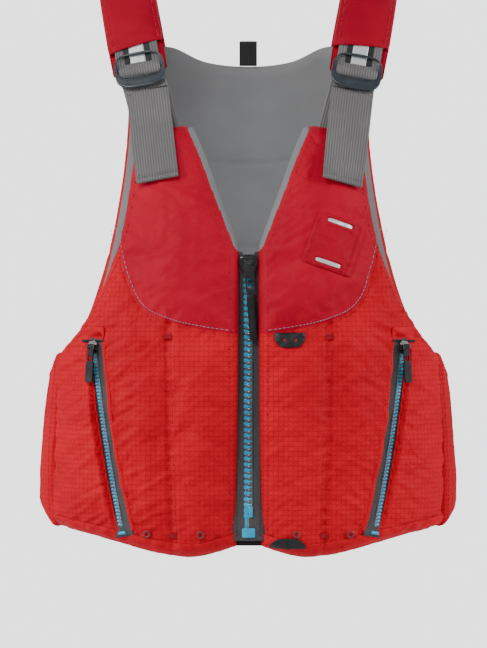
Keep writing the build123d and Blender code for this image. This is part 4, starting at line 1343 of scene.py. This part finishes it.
def lock_frame(side, name):
    """The ladder lock: a ring with a thin top bar, rounded sides and a broad crescent below, its middle bar
    and its grips."""
    centre, level, along, outward = strap_frame(side)
    body = f"{name}_shoulder_lock"
    angle = round_angles(120)
    c, s = np.cos(angle), np.sin(angle)
    outer = np.column_stack((LOCK_HALF[0] * signed_power(c, 0.62), LOCK_HALF[1] * signed_power(s, 0.62)))
    low, high = LOCK_OPENING
    inner = np.column_stack((OPENING_HALF * signed_power(c, 0.42),
                             (low + high) / 2 + (high - low) / 2 * signed_power(s, 0.42)))
    inner[:, 1] -= 1.8 * (1 - (inner[:, 0] / OPENING_HALF) ** 2) * (s < 0)
    across = np.linspace(0, 1, RING_STEPS)
    rounding = dome(2 * across - 1, 4)
    rings = []
    for face, lip, steps in ((1, 0.55, range(RING_STEPS)), (-1, 0.0, range(RING_STEPS - 2, 0, -1))):
        for k in steps:
            flat = outer + (inner - outer) * across[k]
            lift = LOCK_LIFT + face * 1.35 * rounding[k] + lip * math.exp(-((across[k] - 0.12) / 0.08) ** 2)
            lift = lift + LOCK_BOW * (flat[:, 0] / LOCK_HALF[0]) ** 2
            rings.append(centre + level * flat[:, :1] * MM + along * flat[:, 1:] * MM
                         + outward * lift[:, None] * MM)
    faces = tube_faces(len(rings), len(angle), True)
    ring = new_object(f"{name}_lock_ring", np.vstack(rings), faces, ["buckle"])
    set_attribute(ring, "cloth", np.zeros((len(rings) * len(angle), 3)))
    place(ring, body, "buckle_plastic", f"{name}_ladder_lock")
    bar = centre + level * np.linspace(-24.5, 24.5, 12)[:, None] * MM + along * 0.6 * MM + outward * 1.6 * MM
    sweep(f"{name}_lock_middle_bar", bar, outward, rounded_section(4.0, 3.0, 2.4, 16), "buckle", body,
          "buckle_plastic")
    a = np.linspace(-19, 19, 24)[:, None]
    for k, t in enumerate((-7.4, -9.6)):
        grip = (centre + level * a * MM + along * (t - 1.0 * (1 - (a / 22) ** 2)) * MM
                + outward * (LOCK_LIFT + 1.2 + LOCK_BOW * (a / LOCK_HALF[0]) ** 2) * MM)
        sweep(f"{name}_lock_grip_{k}", grip, outward, rounded_section(1.1, 0.8, 2.2, 10), "buckle", body,
              "buckle_plastic")


def tongue(side, name):
    """The sleeve's back layer, which carries on behind the ladder lock."""
    centre, level, along, outward = strap_frame(side)
    u, v = square_grid(30, 34)
    t = 44 - 47 * v
    half = 30.4 - 1.2 * v - 6.0 * smoothstep(v, 0.80, 1.0) ** 2
    middle = -5.6 - 1.0 * v
    thick = 2.3 * dome(u, 5) * np.sqrt(np.clip(1 - v ** 12, 0.02, 1))
    thick = thick - 0.5 * bell(np.abs(u) - 0.84, 0.06)
    ripple = 0.5 * noise_field(pairs(u * 30, t), (24, 14), 81.0 + side, 2)
    base = centre + level * (u * half)[..., None] * MM + along * t[..., None] * MM
    top, bottom = (base + outward * (middle + ripple + k * thick)[..., None] * MM for k in (1, -1))
    # The tongue takes the sleeve's darker red with painted shade.
    closed_pad(f"{name}_sleeve_tongue", top, bottom, ["sleeve"], True, pairs(u * half, t), f"{name}_front",
               "outer_fabric")


TAIL_WIDTH, TAIL_STITCH_X = WEBBING - 2.5, 22


def loose_tail(side, name):
    """The tail of the strap, which hangs in a soft bend and turns a little towards its end."""
    body = f"{name}_tail"
    points, normals = strap_path(side, TAIL_PATH, 90)
    _, level, along, _ = strap_frame(side)
    share = np.linspace(0, 1, len(points))[:, None]
    points = points + along * LOCK_DROP[side] * (1 - smoothstep(share, 0.0, 0.3)) * MM
    points = points + LEFTWARD * (TAIL_SHIFT[side][0] * (1 - share) + TAIL_SHIFT[side][1] * share) * MM
    twist = np.radians(TAIL_TURN[side]) * share ** 1.5
    normals = normals * np.cos(twist) + level * np.sin(twist)
    woven_strap(f"{name}_loose_tail", points, normals, TAIL_WIDTH, WEBBING_THICKNESS + 0.2, "webbing", body,
                "webbing", f"{name}_strap_tail", ripple=0.4, seed=2.0 + side)
    end, end_normals = points[-5:], normals[-5:]
    sweep(f"{name}_tail_end_fold", end + end_normals * 1.3 * MM, end_normals,
          flat_section(TAIL_WIDTH, 1.4, 24), "webbing", body, "webbing")
    across = unit(np.cross(np.gradient(points, axis=0), normals))
    steps = np.linspace(-TAIL_STITCH_X, TAIL_STITCH_X, 40)[:, None]
    rows = []
    for index in (-6, -8):
        row = points[index] + across[index] * steps * MM + normals[index] * 0.95 * MM
        rows += stitch_line(row, normals[index], length=2.4, gap=1.2, radius=0.28)
    joined(f"{name}_tail_stitching", rows, "webbing", body, "webbing")


def shoulder_strap(side, name):
    """One shoulder's sleeve, ladder lock and webbing."""
    sleeve(side, name)
    tongue(side, name)
    lock_frame(side, name)
    reflective_band(side, name)
    front, lock = f"{name}_front", f"{name}_shoulder_lock"
    points, normals = strap_path(side, UPPER_PATH, 60)
    woven_strap(f"{name}_upper_webbing", points, normals, WEBBING - 1, WEBBING_THICKNESS, "webbing", front,
                "webbing", f"{name}_shoulder_webbing")
    points, normals = strap_path(side, ROLL_PATH, 90)
    lower = smoothstep(np.linspace(0, 1, 90), 0.6, 1.0)[:, None]
    to_tail = strap_frame(side)[2] * LOCK_DROP[side] + LEFTWARD * TAIL_SHIFT[side][0]
    woven_strap(f"{name}_lock_webbing", points + to_tail * lower * MM, normals, WEBBING - 3, WEBBING_THICKNESS,
                "webbing", lock, "webbing", f"{name}_webbing_wrap")
    loose_tail(side, name)
    points, normals = strap_path(side, CHEST_PATH, 70)
    drift = np.linspace(0, 1, len(points))[:, None]
    woven_strap(f"{name}_yoke_webbing", points - LEFTWARD * side * (2 + 6 * drift) * MM, normals, WEBBING,
                WEBBING_THICKNESS, "webbing", front, "webbing", f"{name}_chest_webbing")


for side, name in SIDES:
    shoulder_strap(side, name)


# ================================================================ trim on the wearer's left front
PATCH_CENTRE, PATCH_SIZE, PATCH_TILT = np.array((89.0, 331.0)), (54, 57), -19
PATCH_SLOTS = (("upper", np.array((94.5, 352.5))), ("lower", np.array((81.5, 311.0))))


def lash_patch():
    """The square lash patch with its two webbing slots, each backed by a reflective bar."""
    shell, body = shells["left"], "left_front"
    turn = math.radians(PATCH_TILT)
    along, up = np.array((math.cos(turn), math.sin(turn))), np.array((-math.sin(turn), math.cos(turn)))
    centre, (wide, tall) = PATCH_CENTRE, PATCH_SIZE
    x, z = rounded_patch(centre, PATCH_SIZE, PATCH_TILT, 0.06, (70, 74))
    points = pairs(x, z)
    height = np.full(x.shape, 1.7)
    u, v = (points - centre) @ along, (points - centre) @ up
    height += 0.4 * noise_field(pairs(u, v), (16, 16), 61.0, 2)
    height += 0.8 * smoothstep(np.abs(u - 23.5), 3.4, 2.4)
    height *= dome(np.maximum(np.abs(u) / (wide / 2 + 0.3), np.abs(v) / (tall / 2 + 0.3)), 16)
    for _, slot_centre in PATCH_SLOTS:
        local = points - slot_centre
        inside = np.hypot(np.clip(np.abs(local @ along) - 11.8, 0, None), np.abs(local @ up))
        height -= 1.5 * (1 - smoothstep(inside, 2.4, 3.2))
        height += 0.6 * bell(inside - 4.2, 1.1)
    base, normal = shell.drape(x, z, 0.2)
    closed_pad("lash_patch_cloth", base + normal * (height * MM)[..., None], base - normal * 0.3 * MM,
               ["crimson"],
               False, points, body, "yoke_fabric", ("lash_patch",))
    for label, slot_centre in PATCH_SLOTS:
        x, z = rounded_patch(slot_centre, (27.2, 4.6), PATCH_TILT, 0.14, (26, 8))
        slab(f"lash_reflector_{label}", shell, x, z, 1.1, "reflective", False, 0.5, 6, body, "webbing")
    corners = [centre + along * a * (wide / 2 - 2.6) + up * b * (tall / 2 - 2.6)
               for a, b in ((-1, -1), (1, -1), (1, 1), (-1, 1), (-1, -1))]
    bar = (centre + along * 19.4 - up * 26, centre + along * 19.4 + up * 26)
    lines = list(zip(corners[:-1], corners[1:])) + [bar]
    threads = []
    for start, end in lines:
        line = between(start, end, 30)
        threads += stitch_line(*shell.drape(line[:, 0], line[:, 1], 2.1))
    joined("lash_patch_stitching", threads, "red_thread", body, "yoke_fabric")


def rubber_lash_tab():
    """The rubber tab at the yoke seam, wider at its top, with two red dots."""
    shell, body = shells["left"], "left_front"
    left, right, low, high = 27, 59, 222, 238
    u, v = square_grid(44, 24)
    narrow = 1 - 0.30 * smoothstep(1 - v, 0.42, 1.0) ** 1.6
    x = (left + right) / 2 + u * (right - left) / 2 * narrow
    z = low + (high - low) * v + 1.5 * (u ** 2) * (1 - v)
    slab("rubber_tab", shell, x, z, 2.3, "rubber", False, 0.3, 7, body, "rubber_parts", "rubber_lash_tab")
    a, r = round_angles(16), np.linspace(0.02, 1, 5)
    faces = np.vstack((grid_faces(16, 5), [(75 + j, j, j + 1, 76 + j) for j in range(4)]))
    for k, dot_x in enumerate((37.5, 49.0)):
        x, z = dot_x + np.outer(np.cos(a), r) * 1.3, 230 + np.outer(np.sin(a), r) * 1.3
        points, normal = shell.drape(x, z, 2.55)
        points = points + normal * (0.5 * np.sqrt(1 - np.clip(r, 0, 0.98)[None, :] ** 2) * MM)[..., None]
        dot = new_object(f"rubber_tab_dot_{k}", points.reshape(-1, 3), faces, ["red"])
        set_attribute(dot, "cloth", np.zeros((80, 3)))
        place(dot, body, "rubber_parts")


def hem_half_moon():
    """The half-moon patch on the hem."""
    left, right, low, high = 22, 60, 10, 22
    u, v = square_grid(40, 14)
    x = (left + right) / 2 + u * (right - left) / 2
    z = low + (high - low) * v * dome(u, 2.4) + 0.8 * np.abs(u)
    slab("hem_half_moon_patch", shells["left"], x, z, 1.4, "rubber", False, 1.4, 8, "left_front",
         "rubber_parts", "hem_half_moon")


EYELET_Z, EYELET_RADIUS, EYELET_ROLL, EYELET_STEPS = 26.0, 3.1, (1.25, 0.85), (10, 28)


def eyelets(side, name):
    """Rolled metal eyelets through the hem."""
    angle = round_angles(EYELET_STEPS[1])[:, None]
    for k, eyelet_x in enumerate((50, 106)):
        centre, normal = (v[0] for v in shells[name].drape([side * eyelet_x], [EYELET_Z], 0.5))
        level = unit(np.cross((0, 0, 1.0), normal))
        outward = level * np.cos(angle) + np.cross(normal, level) * np.sin(angle)
        rings = [centre + outward * (EYELET_RADIUS + EYELET_ROLL[0] * math.cos(a)) * MM
                 + normal * EYELET_ROLL[1] * math.sin(a) * MM for a in round_angles(EYELET_STEPS[0])]
        obj = new_object(f"{name}_eyelet_{k}", np.vstack(rings), tube_faces(*EYELET_STEPS, True), ["zip_red"])
        place(obj, f"{name}_front", "zip_metal", *((f"{name}_hem_eyelets",) if k == 0 else ()))


def base_stay():
    """The folded webbing tab behind the foot of the zip."""
    points = between((-0.0135, -0.1195, 0.020), (0.0135, -0.1195, 0.020), 30)
    points[:, 1] -= 0.0012 * np.sin(np.linspace(0, math.pi, 30))
    sweep("zip_foot_stay", points, FRONT, flat_section(14, 1.8, 14), "black_webbing", "left_front",
          "black_webbing", "zip_base_stay")


lash_patch()
rubber_lash_tab()
hem_half_moon()
base_stay()
for side, name in SIDES:
    eyelets(side, name)


# ================================================================ sides and back
BACK_OUTLINE = ((200, 240), (186, 262), (165, 330), (148, 420), (142, 500), (148, 558))
BACK_TOP = ((-148, 558), (-118, 561), (-88, 560), (-50, 545), (0, 540), (50, 545), (88, 560), (118, 561),
            (148, 558))
BACK_LOW_X, BACK_LOW_Z = 199.5, 240.5
CHANNEL_X, CHANNEL_Z, CHANNEL_FALL = 62, 335, 0.04
SIDE_BOTTOM = ((-57, 29), (-50, 30), (-15, 48), (25, 57), (58, 58))
SIDE_TOP = ((-50.5, 217), (-30, 203), (15, 194), (58, 203))
SIDE_STRAP_Z, SIDE_STRAP_Y = (104, 164), (44, 132)
HEM_BAND_Z, HEM_BAND_TOP, MESH_SHOULDER_DROP = 70.5, 83, 34
MESH_HEIGHTS = np.linspace(60, 250, 60)


def side_angle(y, z, side):
    """The section angle of a point on one side, from how far back it lies."""
    _, front, back = section(z)
    reach = np.where(y > SIDE_LINE_Y, back, front)
    share = (np.abs(y - SIDE_LINE_Y) / reach) ** (ROUNDNESS / 2)
    angle = np.arcsin(np.clip(share, 0, 1)) * np.sign(y - SIDE_LINE_Y)
    return angle if side > 0 else math.pi - angle


def plain_pad(name, base, normal, depth, flip, flat, radius, crown, seed, nodes, yoke, channels=0.0):
    """A padded piece on the back body with rolled edges, a crown, soft wrinkles and sewn channels."""
    edge = np.vstack((base[0], base[-1], base[:, 0], base[:, -1]))
    d_edge = nearest_mm(base, edge)
    fallen = roll(d_edge, radius)
    relief = 1.2 * noise_field(flat, (45, 80), seed, 3) + 0.5 * noise_field(flat, (16, 20), seed + 5, 2)
    relief += crown * (1 - bell(d_edge, 24))
    inset = (depth / 2 - 0.3) * fallen - relief * (1 - fallen) + 2.4 * channels * (1 - fallen)
    inner_relief = 1.6 * channels + 0.8 * noise_field(flat, (40, 40), seed + 9, 2)
    inner = depth - (depth / 2 - 0.3) * fallen - inner_relief * (1 - fallen)
    obj = closed_pad(name, base - normal * (inset * MM)[..., None], base - normal * (inner * MM)[..., None],
                     ["panel", "liner"], flip, flat, "back", "outer_fabric", nodes, [("yoke", yoke)])
    return Shell(obj)


def side_panel(side, name):
    """The padded panel under one arm."""
    nu, nv = 60, 96
    share, rise = eased(nu, 0.4)[:, None], eased(nv, 0.4)[None, :]
    y_low, y_high = seam_y(30) + 0.6, BACK_EDGE_Y + 3.0
    y = y_low + (y_high - y_low) * share + 0 * rise
    low, high = smooth_curve(SIDE_BOTTOM, 200), smooth_curve(SIDE_TOP, 200)
    bottom, top = np.interp(y, low[:, 0], low[:, 1]), np.interp(y, high[:, 0], high[:, 1])
    z = bottom + (top - bottom) * rise
    y = y + (seam_y(z) + 0.6 - y_low) * (1 - share)
    angle = side_angle(y, z, side)
    base, normal = body_point(angle, z, 0.4), body_normal(angle, z)
    flat = np.stack((y, z), axis=-1)
    shell = plain_pad(f"{name}_side_pad", base, normal, SIDE_DEPTH, side < 0, flat, 8.0, 1.5, 71.0 + side,
                      (f"{name}_side_panel",), np.full(y.shape, -20.0))
    rows = []
    for k in (int(0.07 * nu), int(0.93 * nu)):
        rows += stitch_line(*shell.onto(base[k, 6:-6], normal[k, 6:-6]))
    for j in (7, nv - 8):
        rows += stitch_line(*shell.onto(base[4:-4, j], normal[4:-4, j]))
    joined(f"{name}_side_stitching", rows, "red_thread", "back", "outer_fabric")


def upper_back():
    """The padded back above the mesh, quilted in channels."""
    nu, nv = 150, 150
    share, rise = eased(nu, 0.45), eased(nv, 0.45)
    top_z = BACK_OUTLINE[-1][1]
    right = at_heights(smooth_curve(BACK_OUTLINE, 300), BACK_LOW_Z + rise * (top_z - BACK_LOW_Z))
    bottom = np.stack((-BACK_LOW_X + 2 * BACK_LOW_X * share, np.full(nu, BACK_LOW_Z)), axis=1)
    grid = coons(bottom, at_shares(smooth_curve(BACK_TOP, 500), share), right * (-1, 1), right)
    x, z = grid[..., 0], grid[..., 1]
    angle = angle_at(x, z, True)
    base, normal = body_point(angle, z), body_normal(angle, z)
    yoke = z - (452 - 22 * np.cos(np.clip(x / 150, -1, 1) * math.pi / 2))
    channels = bell(np.abs(x) - CHANNEL_X, 4.5) * (yoke < -4)
    channels += 0.6 * bell(yoke, 3.0)
    channels += bell(z - CHANNEL_Z + CHANNEL_FALL * np.abs(x), 4.5)
    shell = plain_pad("upper_back_pad", base, normal, BACK_DEPTH, True, grid, 15.0, 2.2, 81.0,
                      ("back_foam", "back_cover", "back_liner"), yoke, np.clip(channels, 0, 1))
    red = []
    for sign in (-1, 1):
        for shift in (-3.6, 3.6):
            line_x = sign * CHANNEL_X + shift
            red += sew(shell, between((line_x, 250), (line_x, 424), 90), back=True)
    level_x = np.linspace(-150, 150, 160)
    for shift in (-3.6, 3.6):
        level_z = CHANNEL_Z - CHANNEL_FALL * np.abs(level_x) + shift
        red += sew(shell, np.column_stack((level_x, level_z)), back=True)
    joined("back_topstitch", red, "red_thread", "back", "outer_fabric")
    line_x = np.linspace(-128, 128, 160)
    line = np.column_stack((line_x, 456 - 22 * np.cos(line_x / 150 * math.pi / 2)))
    joined("back_yoke_topstitch", sew(shell, line, back=True, length=3.2, gap=1.5, radius=0.36), "blue_thread",
           "back", "outer_fabric")


def side_edge_x(z):
    """How far out the body is where the side panels end."""
    half_width, _, back = section(z)
    return half_width * (1 - ((BACK_EDGE_Y - SIDE_LINE_Y) / back) ** ROUNDNESS) ** (1 / ROUNDNESS)


def lower_back():
    """The open mesh below the back pad, and the webbing band along its hem."""
    nu, nv = 140, 60
    share = np.linspace(-1, 1, nu)[:, None]
    mesh_top = BACK_SPLIT_Z + 3 - MESH_SHOULDER_DROP * smoothstep(np.abs(share), 0.72, 1.0)
    z = HEM_BAND_TOP - 3 + (mesh_top - HEM_BAND_TOP + 3) * np.linspace(0, 1, nv)[None, :]
    edges = np.minimum(side_edge_x(MESH_HEIGHTS), 232 - 34 * np.clip(MESH_HEIGHTS - 200, 0, None) / 39.5)
    start = angle_at(np.interp(z, MESH_HEIGHTS, edges), z, True)
    angle = start + (math.pi - 2 * start) * np.linspace(0, 1, nu)[:, None]
    base, normal = body_point(angle, z, 1.8), body_normal(angle, z)
    steps_across = np.linalg.norm(np.diff(base, axis=0), axis=-1)
    arc = np.vstack((np.zeros((1, nv)), np.cumsum(steps_across, axis=0))) / MM
    flat = np.stack((arc - arc[-1:] / 2, z), axis=-1)
    sag = 2.2 * noise_field(flat, (60, 120), 91.0, 3) * np.sin(math.pi * np.linspace(0, 1, nv))[None, :] ** 0.7
    outer = base + normal * ((sag + 0.5) * MM)[..., None]
    obj = closed_pad("lower_back_mesh", outer, outer - normal * 1.0 * MM, ["mesh"], False, flat, "back",
                     "mesh_fabric", ("back_mesh",))

    z_mid = np.full(160, HEM_BAND_Z)
    angle = side_angle(np.array([55.5]), np.array([HEM_BAND_Z]), 1)[0]
    angle = np.linspace(angle, math.pi - angle, 160)
    points, normals = body_point(angle, z_mid, 0.9), body_normal(angle, z_mid)
    sweep("back_hem_tape", points, normals, flat_section(25, 2.2, 16), "black_webbing", "back",
          "black_webbing", "back_hem_band")
    rows = []
    for shift in (-10, 10):
        rows += stitch_line(points + normals * 1.3 * MM + np.array((0, 0, shift * MM)), normals)
    joined("back_hem_stitching", rows, "black_thread", "back", "black_webbing")


def side_adjusters():
    """Two adjuster straps on each side, and their ladder locks."""
    for side, name in SIDES:
        for k, height in enumerate(SIDE_STRAP_Z):
            z = np.full(70, float(height))
            angle = side_angle(np.linspace(SIDE_STRAP_Y[0], SIDE_STRAP_Y[1], 70), z, side)
            points, normals = body_point(angle, z), body_normal(angle, z)
            points = points + normals * (1.3 + 0.4 * np.sin(np.linspace(0, 9, 70)))[:, None] * MM
            nodes = ("side_straps",) if (side, k) == (-1, 0) else ()
            woven_strap(f"{name}_adjuster_{k}", points, normals, 25, 1.6, "black_webbing", "back",
                        "black_webbing", *nodes)
            box = points[2:9] + normals[2:9] * 1.0 * MM
            rows = [t for shift in (-9, 0, 9)
                    for t in stitch_line(box + np.array((0, 0, shift * MM)), normals[2:9])]
            joined(f"{name}_adjuster_stitches_{k}", rows, "black_thread", "back", "black_webbing")
    rounded_copy("side_ladder_locks", "side_adjuster_locks", "buckle", 0.5, 3, "buckle_plastic")


def hang_loop():
    """The webbing loop at the back of the neck."""
    turn = [(103 - 6 * math.cos(a), 562 + 6 * math.sin(a)) for a in np.linspace(0, math.pi, 9)[1:-1]]
    flat = smooth_curve([(97, 541), (97, 552), (97, 562)] + turn + [(109, 562), (109, 552), (109, 541)], 70)
    points = np.column_stack((np.zeros(70), flat)) * MM
    normals = -unit(np.cross(np.gradient(points, axis=0), LEFTWARD))
    sweep("back_hang_loop", points, normals, flat_section(20, 1.6, 16), "black_webbing", "back",
          "black_webbing", "hang_loop")


for side, name in SIDES:
    side_panel(side, name)
upper_back()
lower_back()
side_adjusters()
hang_loop()
